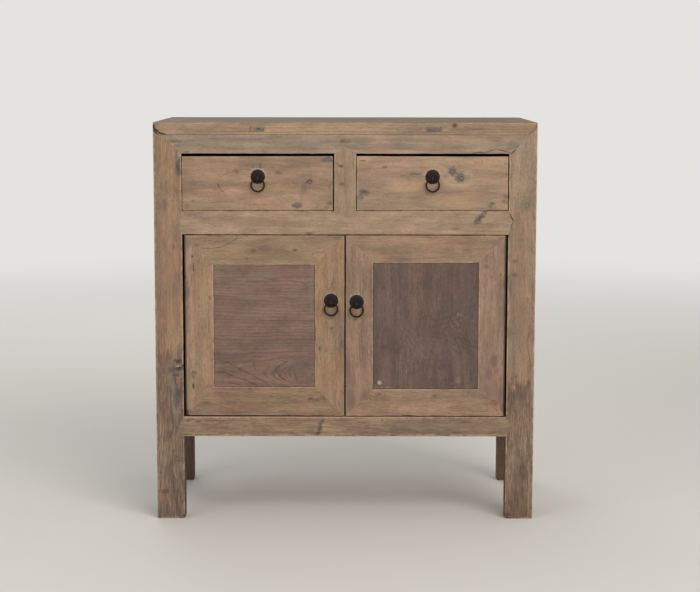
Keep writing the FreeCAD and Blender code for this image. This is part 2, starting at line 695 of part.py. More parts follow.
def door(side):
    """A door: four members, mitred on the face, round a field almost flush, on two wooden pivots."""
    name = side + "_door"
    wood = side + "_door_member"
    near, far = "front_leg_width + hinge_gap", "case_width / 2 - meeting_gap / 2"
    near_in, far_in = "%s + %s" % (near, wood), "%s - %s" % (far, wood)
    low, high = BOTTOM_RAIL[1] + " + door_end_gap", MIDDLE_RAIL[0] + " - door_end_gap"
    low_in, high_in = "%s + %s" % (low, wood), "%s - %s" % (high, wood)
    hinge_x, meeting_x = spot(side, near), spot(side, far)
    hinge_in, meeting_in = spot(side, near_in), spot(side, far_in)
    faces = {
        "hinge_stile": [(hinge_x, low), (hinge_x, high), (hinge_in, high_in), (hinge_in, low_in)],
        "meeting_stile": [(meeting_x, low), (meeting_x, high), (meeting_in, high_in), (meeting_in, low_in)],
        "top_rail": [(hinge_x, high), (meeting_x, high), (meeting_in, high_in), (hinge_in, high_in)],
        "bottom_rail": [(hinge_x, low), (meeting_x, low), (meeting_in, low_in), (hinge_in, low_in)],
    }
    cores = {
        "hinge_stile": (span(side, near, near_in), (low, high)),
        "meeting_stile": (span(side, far_in, far), (low, high)),
        "top_rail": (span(side, near_in, far_in), (high_in, high)),
        "bottom_rail": (span(side, near_in, far_in), (low, low_in)),
    }
    slab = door_slab(name, side, near, far, (low, high))
    boards = {}
    for part, corners in faces.items():
        label = "%s_%s" % (name, part)
        across, level = cores[part]
        face = prism(label + "_face", "XZ_Plane", corners, span("front", "0", "door_mitre_depth"))
        core = box(label + "_core", across, span("front", "door_mitre_depth", "door_thickness"), level)
        outline = fused(label + "_outline_solid", face, core)
        boards[part] = doc.addObject("Part::Common", label + "_board")
        boards[part].Base = slab
        boards[part].Tool = outline

    pivot_x, pivot_y = spot(side, near + " + pivot_inset"), spot("front", "pivot_setback")
    pivots = []
    for part, start, hole_start, rail in (
            ("lower", low + " - pivot_length", low + " - pivot_length - pivot_end_play", "bottom_front_rail"),
            ("upper", high, high, "middle_front_rail")):
        up = FreeCAD.Vector(0, 0, 1)
        label = "%s_%s_pivot" % (name, part)
        pivots.append(round_bar(label, up, "pivot_radius", "pivot_length", pivot_x, pivot_y, start))
        hole = round_bar(label + "_hole", up, "pivot_radius + pivot_clearance",
                         "pivot_length + pivot_end_play", pivot_x, pivot_y, hole_start)
        let_in(hole, rail)

    setback = span("front", "door_tenon_setback", "door_tenon_setback + door_tenon_thickness")
    for part in ("top_rail", "bottom_rail"):
        level = inside(cores[part][1], "door_tenon_inset")
        reaches = {"hinge": span(side, near + " + door_tenon_inset", near_in),
                   "meeting": span(side, far_in, far + " - door_tenon_inset")}
        tongues = [tenon("%s_%s_%s_tenon" % (name, part, stile), across, setback, level,
                         "%s_%s_stile" % (name, stile)) for stile, across in reaches.items()]
        member("%s_%s" % (name, part), boards[part], tongues=tongues)
    member(name + "_hinge_stile", boards["hinge_stile"], tongues=pivots)
    member(name + "_meeting_stile", boards["meeting_stile"])

    field = [span(side, near_in, far_in), (low_in, high_in)]
    behind = ("field_recess + field_thickness - field_tongue_thickness", "field_recess + field_thickness")
    face = box(name + "_field", inside(field[0], "field_gap"), span("front", "field_recess", behind[1]),
               inside(field[1], "field_gap"))
    tongue = box(name + "_tongue", wider(field[0], "panel_tongue"), span("front", *behind),
                 wider(field[1], "panel_tongue"))
    member(name + "_panel", face, tongue)
    groove = box(name + "_groove", wider(field[0], "panel_tongue + panel_play"),
                 wider(span("front", *behind), "groove_clearance"),
                 wider(field[1], "panel_tongue + panel_play"))
    let_in(groove, *["%s_%s" % (name, part) for part in faces])
    pull_x = spot(side, "%s - %s_pull_inset" % (far, name))
    height = "%s - %s_pull_drop" % (MIDDLE_RAIL[0], name)
    ring_pull(name, pull_x, height, "door_thickness", name + "_meeting_stile")


def check_and_write():
    doc.recompute()
    for thing in doc.Objects:
        if "Invalid" in thing.State or "Error" in thing.State:
            raise RuntimeError("%s failed: %s" % (thing.Name, thing.State))
    os.makedirs("parts", exist_ok=True)
    for name, thing in sorted(nodes.items()):
        thing.Label = name
        if thing.Shape.isNull() or not thing.Shape.isValid():
            raise RuntimeError(name + " has no valid shape")
        thing.Shape.exportStep("parts/%s.step" % name)
    print(len(nodes), "sub-parts written")


legs()
rails()
panels()
top()
drawer_bearers()
cupboard_floor()
door_stops()
for side_name in SIDES:
    drawer(side_name)
    door(side_name)
finish_members()
check_and_write()
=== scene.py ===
import json
import math

import bmesh
import bpy
from mathutils import Matrix, Vector, noise


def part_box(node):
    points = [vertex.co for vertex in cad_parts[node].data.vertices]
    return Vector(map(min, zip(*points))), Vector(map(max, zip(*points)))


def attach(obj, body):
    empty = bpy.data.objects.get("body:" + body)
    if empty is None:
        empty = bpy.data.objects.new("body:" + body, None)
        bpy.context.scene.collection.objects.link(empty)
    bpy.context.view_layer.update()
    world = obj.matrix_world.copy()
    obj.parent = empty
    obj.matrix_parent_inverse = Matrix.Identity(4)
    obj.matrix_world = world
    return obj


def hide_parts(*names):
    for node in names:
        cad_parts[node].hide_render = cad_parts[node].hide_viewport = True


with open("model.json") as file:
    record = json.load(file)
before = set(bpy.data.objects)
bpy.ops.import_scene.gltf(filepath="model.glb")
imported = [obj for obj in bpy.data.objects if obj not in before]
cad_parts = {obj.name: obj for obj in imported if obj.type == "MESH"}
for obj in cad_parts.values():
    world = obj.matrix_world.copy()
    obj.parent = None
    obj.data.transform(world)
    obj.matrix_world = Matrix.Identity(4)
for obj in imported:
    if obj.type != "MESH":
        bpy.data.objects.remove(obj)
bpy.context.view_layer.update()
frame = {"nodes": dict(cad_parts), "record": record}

bodyOf = {node: body for body, nodes in frame["record"]["behaviour"]["bodies"].items() for node in nodes}
mm = 0.001
print("frame loaded:", len(frame["nodes"]), "nodes")


# Colours are written as they look on a screen, 0 to 255
def linear(colour, share=1.0):
    channels = [min(max(c * share / 255, 0), 1) for c in colour]
    return [c / 12.92 if c <= 0.04045 else ((c + 0.055) / 1.055) ** 2.4 for c in channels] + [1]


# Short ways to place and join shader nodes in one tree
class Wiring:
    def __init__(self, tree):
        self.tree = tree

    def link(self, value, socket):
        self.tree.links.new(value, socket)

    def place(self, kind, feeds, **settings):
        node = self.tree.nodes.new(kind)
        for key, value in settings.items():
            setattr(node, key, value)
        for key, value in feeds.items():
            if isinstance(value, bpy.types.NodeSocket):
                self.link(value, node.inputs[key])
            else:
                node.inputs[key].default_value = value
        return node

    def maths(self, operation, *feeds):
        return self.place("ShaderNodeMath", dict(enumerate(feeds)), operation=operation).outputs[0]

    def vector(self, operation, *feeds, out="Vector"):
        return self.place("ShaderNodeVectorMath", dict(enumerate(feeds)), operation=operation).outputs[out]

    def scale(self, vector, factor):
        feeds = {0: vector, "Scale": factor}
        return self.place("ShaderNodeVectorMath", feeds, operation="SCALE").outputs[0]

    def ramp(self, value, low, high, start=0.0, end=1.0):
        feeds = {"Value": value, "From Min": low, "From Max": high, "To Min": start, "To Max": end}
        return self.place("ShaderNodeMapRange", feeds, interpolation_type="SMOOTHSTEP").outputs[0]

    def mix(self, factor, first, second):
        feeds = {0: factor, 6: first, 7: second}
        return self.place("ShaderNodeMix", feeds, data_type="RGBA").outputs[2]

    def noise(self, vector, stretch, detail=2.0, roughness=0.5, out=0):
        stretched = self.vector("MULTIPLY", vector, [1 / size for size in stretch])
        feeds = {"Vector": stretched, "Scale": 1.0, "Detail": detail, "Roughness": roughness}
        return self.place("ShaderNodeTexNoise", feeds).outputs[out]

    def split(self, vector):
        return self.place("ShaderNodeSeparateXYZ", {0: vector}).outputs

    def join(self, x, y, z):
        return self.place("ShaderNodeCombineXYZ", {0: x, 1: y, 2: z}).outputs[0]

    def group(self, tree, **feeds):
        return self.place("ShaderNodeGroup", feeds, node_tree=tree).outputs


# A new material with its wiring and its surface shader
def newMaterial(name):
    material = bpy.data.materials.new(name)
    material.use_nodes = True
    return material, Wiring(material.node_tree), material.node_tree.nodes["Principled BSDF"]


# Where a point lies on its piece, in millimetres
def spotOn(w):
    return w.scale(w.place("ShaderNodeTexCoord", {}).outputs["Object"], 1 / mm)


# Makes a finished mesh an object of the scene, smooth where its faces meet at a small angle
def newPiece(mesh, name, material, smoothBelow):
    data = bpy.data.meshes.new(name)
    mesh.to_mesh(data)
    mesh.free()
    data.shade_smooth()
    data.set_sharp_from_angle(angle=math.radians(smoothBelow))
    data.materials.append(material)
    piece = bpy.data.objects.new(name, data)
    bpy.context.scene.collection.objects.link(piece)
    return piece


# A new node group, with its wiring, its inputs and its outputs
def newGroup(name, takes, gives):
    tree = bpy.data.node_groups.new(name, "ShaderNodeTree")
    for title, kind in takes.items():
        tree.interface.new_socket(title, in_out="INPUT", socket_type="NodeSocket" + kind)
    for title in gives:
        tree.interface.new_socket(title, in_out="OUTPUT", socket_type="NodeSocketFloat")
    start = tree.nodes.new("NodeGroupInput").outputs
    end = tree.nodes.new("NodeGroupOutput").inputs
    return tree, Wiring(tree), start, end


# Yearly rings round a pith, fine fibres, broader streaks, pores and a slow change of tone.
# The vector runs along the grain in x and is in millimetres, as in every group here.
def makeGrain():
    takes = {"Vector": "Vector", "Pith": "Vector", "Seed": "Float", "Ring": "Float", "Wave": "Float",
             "Push": "Float"}
    gives = ("Rings", "Fibres", "Flecks", "Streaks", "Mottle", "Pores", "Tone")
    tree, w, start, end = newGroup("grain", takes, gives)
    shift = w.scale(w.join(371.0, 113.0, 57.0), start["Seed"])
    moved = w.vector("ADD", start["Vector"], shift)
    wander = w.maths("SUBTRACT", w.noise(moved, (330, 60, 60)), 0.5)
    ripple = w.maths("SUBTRACT", w.noise(moved, (45, 22, 22), 1), 0.5)
    drift = w.maths("MULTIPLY_ADD", ripple, 0.3, w.maths("MULTIPLY", wander, 2.2))
    drift = w.maths("MULTIPLY_ADD", drift, start["Wave"], start["Push"])
    fromPith = w.vector("MULTIPLY", w.vector("SUBTRACT", start["Vector"], start["Pith"]), (0, 1, 1))
    radius = w.maths("ADD", w.vector("LENGTH", fromPith, out="Value"), drift)
    phase = w.maths("DIVIDE", radius, start["Ring"])
    years = w.noise(w.join(phase, start["Seed"], 0.0), (2.3, 1, 1), 2)
    uneven = w.maths("MULTIPLY_ADD", years, 2.0, phase)
    part = w.maths("FRACT", uneven)
    late = w.maths("MULTIPLY", w.ramp(part, 0.25, 0.88), w.ramp(part, 1.0, 0.9))
    w.link(w.maths("MULTIPLY", late, w.ramp(years, 0.3, 0.62, 0.35, 1.0)), end["Rings"])
    x, y, z = w.split(moved)
    bent = w.join(x, w.maths("ADD", y, w.maths("MULTIPLY", drift, 0.45)), z)
    w.link(w.noise(bent, (34, 0.9, 0.9), 3, 0.6), end["Fibres"])
    w.link(w.noise(bent, (13, 3.0, 3.0), 2, 0.6), end["Flecks"])
    w.link(w.noise(bent, (110, 5, 5), 3, 0.55), end["Streaks"])
    w.link(w.noise(bent, (5.5, 4.0, 4.0), 3, 0.7), end["Mottle"])
    w.link(w.ramp(w.noise(bent, (9, 0.7, 0.7), 1), 0.62, 0.76), end["Pores"])
    w.link(w.noise(bent, (300, 34, 34), 2), end["Tone"])
    return tree


# A round or long patch with a soft or ragged border
def makePatch():
    takes = {"Vector": "Vector", "Centre": "Vector", "Reach": "Vector", "Soft": "Float"}
    tree, w, start, end = newGroup("patch", takes, ("Mask",))
    away = w.vector("DIVIDE", w.vector("SUBTRACT", start["Vector"], start["Centre"]), start["Reach"])
    far = w.vector("LENGTH", away, out="Value")
    inner = w.maths("SUBTRACT", 1.0, start["Soft"])
    outer = w.maths("ADD", 1.0, start["Soft"])
    w.link(w.ramp(far, outer, inner), end["Mask"])
    return tree


# A knot: its dark heart, the rim round it, and how far it pushes the rings aside
def makeKnot():
    takes = {"Vector": "Vector", "Centre": "Vector", "Size": "Float", "Long": "Vector"}
    tree, w, start, end = newGroup("knot", takes, ("Heart", "Rim", "Whorl", "Push"))
    away = w.vector("MULTIPLY", w.vector("SUBTRACT", start["Vector"], start["Centre"]), start["Long"])
    far = w.maths("DIVIDE", w.vector("LENGTH", away, out="Value"), start["Size"])
    w.link(w.ramp(far, 1.25, 0.4), end["Heart"])
    w.link(w.ramp(w.maths("SINE", w.maths("MULTIPLY", far, 9.0)), -0.8, 0.8), end["Whorl"])
    rim = w.maths("MULTIPLY", w.ramp(far, 0.5, 0.9), w.ramp(far, 2.4, 1.0))
    w.link(rim, end["Rim"])
    bell = w.maths("EXPONENT", w.maths("MULTIPLY", w.maths("MULTIPLY", far, far), -0.16))
    w.link(w.maths("MULTIPLY", bell, w.maths("MULTIPLY", start["Size"], 1.6)), end["Push"])
    return tree


# A crack or scratch from one point of the front to another
def makeCrack():
    takes = {"Vector": "Vector", "From": "Vector", "To": "Vector", "Width": "Float"}
    tree, w, start, end = newGroup("crack", takes, ("Mask",))
    flat = (1, 0, 1)
    reached = w.vector("MULTIPLY", w.vector("SUBTRACT", start["Vector"], start["From"]), flat)
    whole = w.vector("MULTIPLY", w.vector("SUBTRACT", start["To"], start["From"]), flat)
    product = w.vector("DOT_PRODUCT", reached, whole, out="Value")
    square = w.vector("DOT_PRODUCT", whole, whole, out="Value")
    share = w.place("ShaderNodeClamp", {0: w.maths("DIVIDE", product, square)}).outputs[0]
    gap = w.vector("SUBTRACT", reached, w.scale(whole, share))
    taper = w.maths("MULTIPLY", w.maths("MULTIPLY", share, w.maths("SUBTRACT", 1.0, share)), 3.0)
    width = w.maths("MULTIPLY", start["Width"], w.maths("ADD", taper, 0.3))
    far = w.maths("DIVIDE", w.vector("LENGTH", gap, out="Value"), width)
    w.link(w.ramp(far, 1.0, 0.25), end["Mask"])
    return tree


# Wear along a board's edges: the second nearest side of its box is close
def makeWear():
    takes = {"Vector": "Vector", "Centre": "Vector", "Half": "Vector", "Width": "Float"}
    tree, w, start, end = newGroup("edgeWear", takes, ("Mask",))
    away = w.vector("ABSOLUTE", w.vector("SUBTRACT", start["Vector"], start["Centre"]))
    x, y, z = w.split(w.vector("SUBTRACT", start["Half"], away))
    lower = w.maths("MINIMUM", x, y)
    upper = w.maths("MAXIMUM", x, y)
    second = w.maths("MAXIMUM", lower, w.maths("MINIMUM", upper, z))
    ragged = w.ramp(w.noise(start["Vector"], (16, 16, 16), 4, 0.65), 0.36, 0.64, 0.25, 1.5)
    w.link(w.ramp(second, w.maths("MULTIPLY", start["Width"], ragged), 0.0), end["Mask"])
    return tree


# Grey weathered patches, and the specks of dirt left in the surface
def makeWeather():
    gives = ("Patches", "Blotches", "Shade", "Specks")
    tree, w, start, end = newGroup("weather", {"Vector": "Vector", "Seed": "Float"}, gives)
    moved = w.vector("ADD", start["Vector"], w.scale(w.join(91.0, 17.0, 233.0), start["Seed"]))
    w.link(w.ramp(w.noise(moved, (120, 60, 60), 5, 0.62), 0.48, 0.7), end["Patches"])
    w.link(w.noise(moved, (64, 26, 26), 2, 0.4), end["Blotches"])
    w.link(w.noise(moved, (75, 32, 32), 3, 0.5), end["Shade"])
    w.link(w.ramp(w.noise(moved, (3.2, 3.2, 3.2), 2), 0.66, 0.78), end["Specks"])
    return tree


groups = {
    "grain": makeGrain(),
    "patch": makePatch(),
    "knot": makeKnot(),
    "crack": makeCrack(),
    "wear": makeWear(),
    "weather": makeWeather(),
}
print("shader groups built:", len(groups))

# Colours of stains, by the word that a board's settings use
stainColours = {
    "grey": (108, 100, 92),
    "slate": (92, 87, 85),
    "black": (50, 47, 52),
    "orange": (164, 125, 92),
    "gold": (160, 132, 97),
    "red": (130, 86, 70),
    "pink": (166, 128, 113),
    "purple": (108, 86, 82),
    "green": (126, 119, 96),
    "pale": (188, 171, 150),
    "brown": (88, 67, 52),
}

knotColours = {"dark": (92, 76, 62), "grey": (110, 98, 88), "red": (104, 74, 60), "slate": (98, 92, 90)}

# How every board starts; a board's own settings replace these. Tones are screen colours.
# Places are millimetres on the front, x then z, and lengths are millimetres too.
# A knot is its place, size and colour; a stain its place, its reach along x and z, colour and strength.
# A crack is its width, its strength and the points it runs through; a scratch is two points and a width.
plainLook = {
    "grain": "x",
    "tone": (148, 122, 99),
    "deep": (0.78, 0.765, 0.755),   # shares of the tone in the late wood
    "pale": (1.10, 1.09, 1.06),
    "pith": (-30, 70),              # across the face and into the wood, from the board's middle
    "ring": 7.0,
    "wave": 9.0,
    "lines": 0.30,
    "fibre": 0.26,
    "flecks": 0.10,
    "mottle": 0.09,
    "shade": 0.14,
    "weathered": 0.34,
    "greyTone": (124, 112, 100),
    "worn": 2.2,
    "knots": (),
    "swirls": (),                   # place, size and strength where the grain turns without a knot
    "stains": (),
    "cracks": (),
    "scratches": (),
    "seams": None,                  # axis, places and strength of the joints within a board
    "below": None,                  # height, softness and tone of a darker lower stretch, partly real weathering and partly painted shade
    "streaky": 0.0,
    "dusty": None,                  # tone of the dust on the upper side
    "footShade": None,                   # height and tint of painted shade over the foot of a leg
}

# What the upright boards of the front have in common, and the dust that lies on the top
upright = {"grain": "z", "fibre": 0.38, "flecks": 0.16}
topDust = (110, 97, 82)

frontLooks = {
    "front_left_leg": {
        **upright, "tone": (151, 124, 99), "pith": (22, 60), "seed": 1, "worn": 4.0,
        "below": (405, 10, (121, 102, 88)), "footShade": (95, (0.8, 0.8, 0.84)),
        "stains": (
            (-391, 843, 7.5, 22, "slate", 0.8), (-391, 840, 4, 12, "brown", 0.7),
            (-447, 850, 4, 62, "slate", 0.35), (-388, 873, 4, 6, "pale", 0.3),
            (-417, 600, 44, 150, "purple", 0.14), (-425, 753, 5.4, 15.6, "slate", 0.5),
            (-395, 786, 4.2, 12, "purple", 0.35), (-405, 655, 4.1, 7.1, "red", 0.4),
            (-397, 586, 6.3, 11, "purple", 0.4), (-413, 584, 18.9, 23.6, "orange", 0.25),
            (-446, 600, 3.2, 78.8, "green", 0.3), (-426, 480, 18.9, 28.4, "orange", 0.22),
            (-432, 385, 10.4, 19, "red", 0.4), (-416, 391, 5.2, 7.8, "purple", 0.45),
            (-392, 405, 6.9, 22.4, "slate", 0.5), (-396, 382, 12, 5, "black", 0.65),
            (-396, 365, 11, 5, "black", 0.75), (-412, 361, 9, 7.3, "slate", 0.8),
            (-402, 349, 9, 3.5, "black", 0.5), (-396, 371, 5.9, 2.1, "pale", 0.5),
            (-396, 336, 5.5, 11, "orange", 0.6), (-403, 333, 1.6, 12, "black", 0.6),
            (-394, 330, 2.1, 2.8, "red", 0.8), (-389, 325, 1.7, 6.2, "slate", 0.5),
            (-412, 330, 4.1, 15.5, "green", 0.4), (-398, 300, 8.3, 18, "slate", 0.85),
            (-396, 306, 3, 10, "black", 0.4), (-425, 270, 8.6, 15.5, "red", 0.22),
            (-422, 117, 10.8, 17.7, "purple", 0.6), (-407, 117, 3, 17.3, "pink", 0.6),
            (-442, 112, 2, 3.6, "brown", 0.8), (-438, 107, 1.8, 3.6, "orange", 0.8),
            (-431, 67, 10.5, 6.3, "brown", 0.5), (-439, 43, 6, 22.5, "orange", 0.4),
            (-400, 62, 6.3, 16.5, "purple", 0.4), (-400, 20, 6.9, 15, "purple", 0.55),
            (-396, 129, 9, 13.5, "green", 0.4),
        ),
        "cracks": (
            (4.0, 0.95, (-450, 933), (-440, 921)), (1.8, 0.7, (-446, 926), (-434, 916)),
            (1.5, 0.6, (-410, 171), (-409, 159), (-405, 152), (-399, 150)),
            (1.2, 0.5, (-404, 140), (-387, 141)), (1.4, 0.45, (-414, 215), (-413, 202)),
            (1.2, 0.4, (-421, 196), (-420, 165)), (2.2, 0.4, (-395, 85), (-402, 60), (-405, 9)),
            (1.6, 0.45, (-411, 71), (-409, 59)), (1.8, 0.8, (-400, 366), (-387, 367)),
            (1.2, 0.6, (-391, 344), (-389, 326)), (1, 0.6, (-398, 341), (-396, 330)),
            (1.2, 0.5, (-415, 217), (-415, 201)), (1.3, 0.35, (-404, 667), (-405, 649)),
        ),
    },
    "front_right_leg": {
        **upright, "tone": (148, 125, 103), "pith": (-35, 65), "seed": 2, "worn": 4.0,
        "below": (328, 8, (122, 100, 84)), "footShade": (85, (0.95, 0.89, 0.87)),
        "knots": (
            (426, 127, 6.3, "dark"), (428, 104, 6.8, "dark"), (428, 755, 8, "grey"),
        ),
        "stains": (
            (428, 753, 12.3, 16.9, "green", 0.45), (442, 783, 4.3, 33.8, "red", 0.35),
            (417, 850, 44, 90, "pale", 0.14), (417, 560, 44, 150, "purple", 0.12),
            (417, 813, 12.3, 36.9, "pink", 0.2), (401, 623, 7.3, 5.9, "brown", 0.5),
            (401, 590, 7.9, 5.6, "brown", 0.42), (444, 587, 3.3, 14.9, "pink", 0.45),
            (431, 530, 4.3, 7.6, "red", 0.45), (391, 553, 4, 24.8, "slate", 0.4),
            (438, 459, 4, 13.2, "red", 0.5), (409, 505, 13.2, 49.5, "orange", 0.22),
            (407, 346, 2.1, 3.5, "brown", 0.85), (396, 341, 2.4, 2.8, "red", 0.85),
            (398, 319, 4.5, 10.4, "orange", 0.6), (404, 321, 1.4, 8.6, "pale", 0.5),
            (431, 321, 3.8, 6.2, "slate", 0.5), (449, 319, 2.4, 5.2, "slate", 0.5),
            (410, 300, 13.8, 10.4, "slate", 0.4), (416, 232, 12.1, 19, "red", 0.25),
            (427, 116, 10, 24, "brown", 0.35), (416, 116, 5, 16.5, "purple", 0.3),
            (437, 67, 2.2, 6.3, "red", 0.5), (418, 65, 4.7, 3.8, "red", 0.35),
            (399, 34, 3.2, 8.7, "red", 0.5), (396, 26, 1.9, 4.1, "pink", 0.6),
            (393, 12, 5.4, 4.1, "brown", 0.6), (420, 14, 17.3, 2.5, "red", 0.5),
            (429, 185, 6.3, 17.3, "gold", 0.3), (429, 47, 4.7, 9.5, "slate", 0.4),
        ),
        "cracks": (
            (2.2, 0.8, (386, 872), (399, 886)), (1.8, 0.65, (399, 886), (410, 900)),
            (1.6, 0.55, (410, 900), (430, 917)), (1.6, 0.9, (385, 738), (397, 716), (388, 696)),
            (2, 0.4, (438, 455), (431, 427), (440, 379), (442, 360)),
            (1.6, 0.35, (432, 657), (448, 638), (449, 610)), (1.4, 0.45, (443, 515), (445, 503)),
            (1.6, 0.5, (431, 234), (434, 220)), (1.5, 0.5, (420, 129), (422, 103)),
        ),
    },
    "top_front_rail": {
        "tone": (152, 134, 114), "pith": (10, 55), "seed": 3, "worn": 1.4,
        "stains": (
            (-400, 903, 18, 5, "purple", 0.55), (-394, 893, 9, 4, "slate", 0.45),
            (-388, 888, 8.4, 7.8, "green", 0.5), (-358, 905, 9, 3.6, "red", 0.3),
            (-248, 907, 66, 6, "purple", 0.3), (-99, 897, 48, 7.8, "green", 0.25),
            (-372, 879, 9, 2.4, "black", 0.5), (40, 906, 33.8, 6.8, "purple", 0.3),
            (135, 892, 49.2, 8, "slate", 0.35), (225, 901, 75, 11, "pink", 0.25),
            (306, 902, 52, 10, "pink", 0.25), (150, 908, 60, 6, "purple", 0.35),
            (84, 890, 44, 9, "pink", 0.3), (392, 897, 16, 8, "slate", 0.4), (386, 888, 8, 4, "grey", 0.4),
            (324, 878, 27.7, 2.5, "slate", 0.5),
        ),
        "cracks": (
            (1.3, 0.75, (300, 877), (324, 879), (355, 885)), (1.3, 0.8, (355, 885), (383, 879)),
            (1.6, 0.9, (383, 879), (390, 877)), (0.9, 0.35, (330, 908), (376, 904)),
            (0.8, 0.25, (257, 907), (306, 894)), (1, 0.35, (-321, 910), (-298, 910)),
            (1.1, 0.3, (-431, 913), (-387, 878)),
        ),
    },
    "top_frame_front": {
        "dusty": (110, 97, 81), "tone": (158, 135, 112), "pith": (-12, 50), "seed": 4, "lines": 0.36,
        "worn": 2.6, "seams": ("z", (919.3,), 0.55),
        "knots": ((256, 941, 5.2, "red"), (281, 938, 2.2, "grey")),
        "stains": (
            (256, 941, 7, 6, "red", 0.95), (256, 941, 4, 3.5, "black", 0.5),
            (435, 940, 12.3, 8, "orange", 0.75), (385, 938, 36.9, 7.4, "gold", 0.2),
            (-417, 939, 18, 7.8, "gold", 0.3), (-435, 947, 10.8, 3, "slate", 0.5),
            (-442, 940, 5, 4, "red", 0.45), (147, 941, 49.2, 3.7, "pink", 0.2),
            (-277, 940, 90, 3, "gold", 0.2), (293, 932, 49.2, 3.1, "slate", 0.2),
        ),
        "cracks": (
            (4.6, 1, (-450, 946), (-446, 925)), (5.2, 1, (-450, 936), (-434, 920)),
            (3.0, 0.9, (-444, 926), (-418, 919)), (0.7, 0.5, (110, 947), (186, 948)),
            (1.4, 0.6, (447, 944), (446, 935), (437, 927)), (1.2, 0.5, (437, 927), (428, 920)),
        ),
    },
    "drawer_divider": {
        "grain": "z", "tone": (153, 133, 109), "pith": (16, 44), "seed": 5, "worn": 1.6,
        "stains": (
            (-11, 846, 7.8, 3.6, "purple", 0.7), (-8, 804, 7.8, 4.2, "brown", 0.55),
            (-18, 852, 4.2, 3, "red", 0.5), (-9, 876, 10.2, 18, "slate", 0.25),
            (15, 782, 9.2, 33.8, "pink", 0.2), (-3, 756, 9, 18, "pink", 0.25),
        ),
        "cracks": ((1.8, 0.6, (-16, 849), (-5, 843)), (1.2, 0.4, (9, 885), (24, 874))),
    },
    "middle_front_rail": {
        "tone": (157, 134, 112), "pith": (-8, 62), "seed": 6, "worn": 1.8,
        "stains": (
            (327, 737, 8, 4.9, "slate", 0.7), (321, 729, 9.2, 6.2, "slate", 0.8),
            (313, 719, 10.5, 8, "slate", 0.85), (308, 713, 6.2, 3.7, "purple", 0.6),
            (260, 699, 12.9, 3.7, "purple", 0.5), (340, 708, 9.8, 7.4, "red", 0.3),
            (369, 721, 15.4, 12.3, "gold", 0.25), (-330, 719, 9.6, 4.2, "purple", 0.35),
            (-394, 714, 6.6, 15.6, "purple", 0.45), (-360, 700, 27, 6, "pink", 0.3),
            (-84, 688, 15, 2.7, "slate", 0.6), (-189, 717, 72, 7.2, "gold", 0.2),
            (117, 711, 49.2, 9.2, "pink", 0.2),
        ),
        "cracks": (
            (0.8, 0.35, (252, 694), (383, 693)), (1.8, 0.6, (-95, 688), (-77, 687)),
            (0.9, 0.45, (-105, 739), (-94, 741), (-81, 738)), (0.9, 0.4, (62, 739), (71, 736), (89, 738)),
            (3.2, 0.5, (322, 733), (311, 717)), (1.8, 0.9, (385, 738), (396, 716)),
            (1.6, 0.7, (396, 716), (388, 696)),
        ),
    },
    "bottom_front_rail": {
        "tone": (142, 119, 98), "pith": (18, 58), "seed": 7, "worn": 6.0, "lines": 0.5, "streaky": 0.6,
        "stains": (
            (-60, 224, 6.5, 12, "purple", 0.9), (-64, 207, 8, 6.5, "black", 0.6),
            (-54, 239, 5.2, 4.5, "slate", 0.6), (-81, 214, 12.1, 10.4, "slate", 0.35),
            (-39, 212, 15.5, 7.9, "gold", 0.35), (-89, 207, 6.2, 3.5, "green", 0.5),
            (-188, 203, 15.5, 2.4, "brown", 0.55), (-219, 215, 5.9, 2.4, "red", 0.5),
            (-381, 229, 12.1, 15.5, "green", 0.35), (-387, 218, 4.5, 7, "brown", 0.3),
            (-374, 239, 4.5, 3.5, "slate", 0.6), (-351, 237, 7.9, 2.4, "brown", 0.6),
            (-308, 238, 34.5, 2.4, "slate", 0.35), (-322, 222, 38, 6.9, "red", 0.25),
            (89, 241, 2.1, 1.7, "brown", 0.85), (72, 209, 20.7, 3.8, "purple", 0.45),
            (146, 228, 34.5, 6.9, "gold", 0.2), (320, 226, 75, 8, "green", 0.55),
            (190, 229, 90, 8, "green", 0.3), (381, 230, 10.4, 12.1, "gold", 0.3),
            (388, 244, 3.5, 2.1, "brown", 0.5),
        ),
        "cracks": (
            (3.4, 0.35, (-51, 243), (-57, 228), (-66, 201)), (0.9, 0.35, (-343, 239), (-231, 239)),
            (0.8, 0.3, (267, 235), (383, 239)), (0.8, 0.3, (250, 224), (387, 228)),
            (1.3, 0.4, (398, 228), (392, 211), (388, 203)),
        ),
    },
    "left_drawer_front": {
        "tone": (158, 131, 107), "pith": (34, 90), "seed": 8, "weathered": 0.24, "wave": 22, "ring": 10,
        "worn": 1.7,
        "knots": (
            (-255, 832, 4.2, "dark"), (-158, 832, 4.2, "dark"), (-84, 810, 6, "dark"),
            (-262, 835, 1.5, "grey"), (-151, 830, 1.5, "grey"),
        ),
        "stains": (
            (-43, 861, 15.6, 6, "slate", 0.7), (-37, 866, 5, 2.5, "black", 0.6),
            (-31, 858, 4, 3, "black", 0.4), (-112, 754, 13.2, 7.8, "slate", 0.7),
            (-115, 752, 10.2, 3, "purple", 0.6), (-36, 759, 9, 5, "slate", 0.75),
            (-43, 749, 6, 5, "grey", 0.6), (-90, 822, 21, 7.8, "slate", 0.3),
            (-97, 798, 7.8, 18, "slate", 0.35), (-102, 771, 4.8, 21, "green", 0.4),
            (-216, 844, 3.6, 4.2, "slate", 0.6), (-199, 847, 3.6, 8.4, "slate", 0.65),
            (-205, 823, 20, 20, "pale", 0.5), (-126, 801, 12, 3, "orange", 0.45),
            (-124, 795, 9, 1.8, "red", 0.4), (-37, 798, 5.4, 4.2, "red", 0.45),
            (-348, 757, 24, 9, "green", 0.45), (-372, 752, 8, 7, "slate", 0.4),
            (-357, 764, 5, 3, "slate", 0.35), (-326, 780, 18, 7.8, "gold", 0.25),
            (-249, 774, 72, 18, "pink", 0.15), (-353, 846, 27, 15, "pink", 0.2),
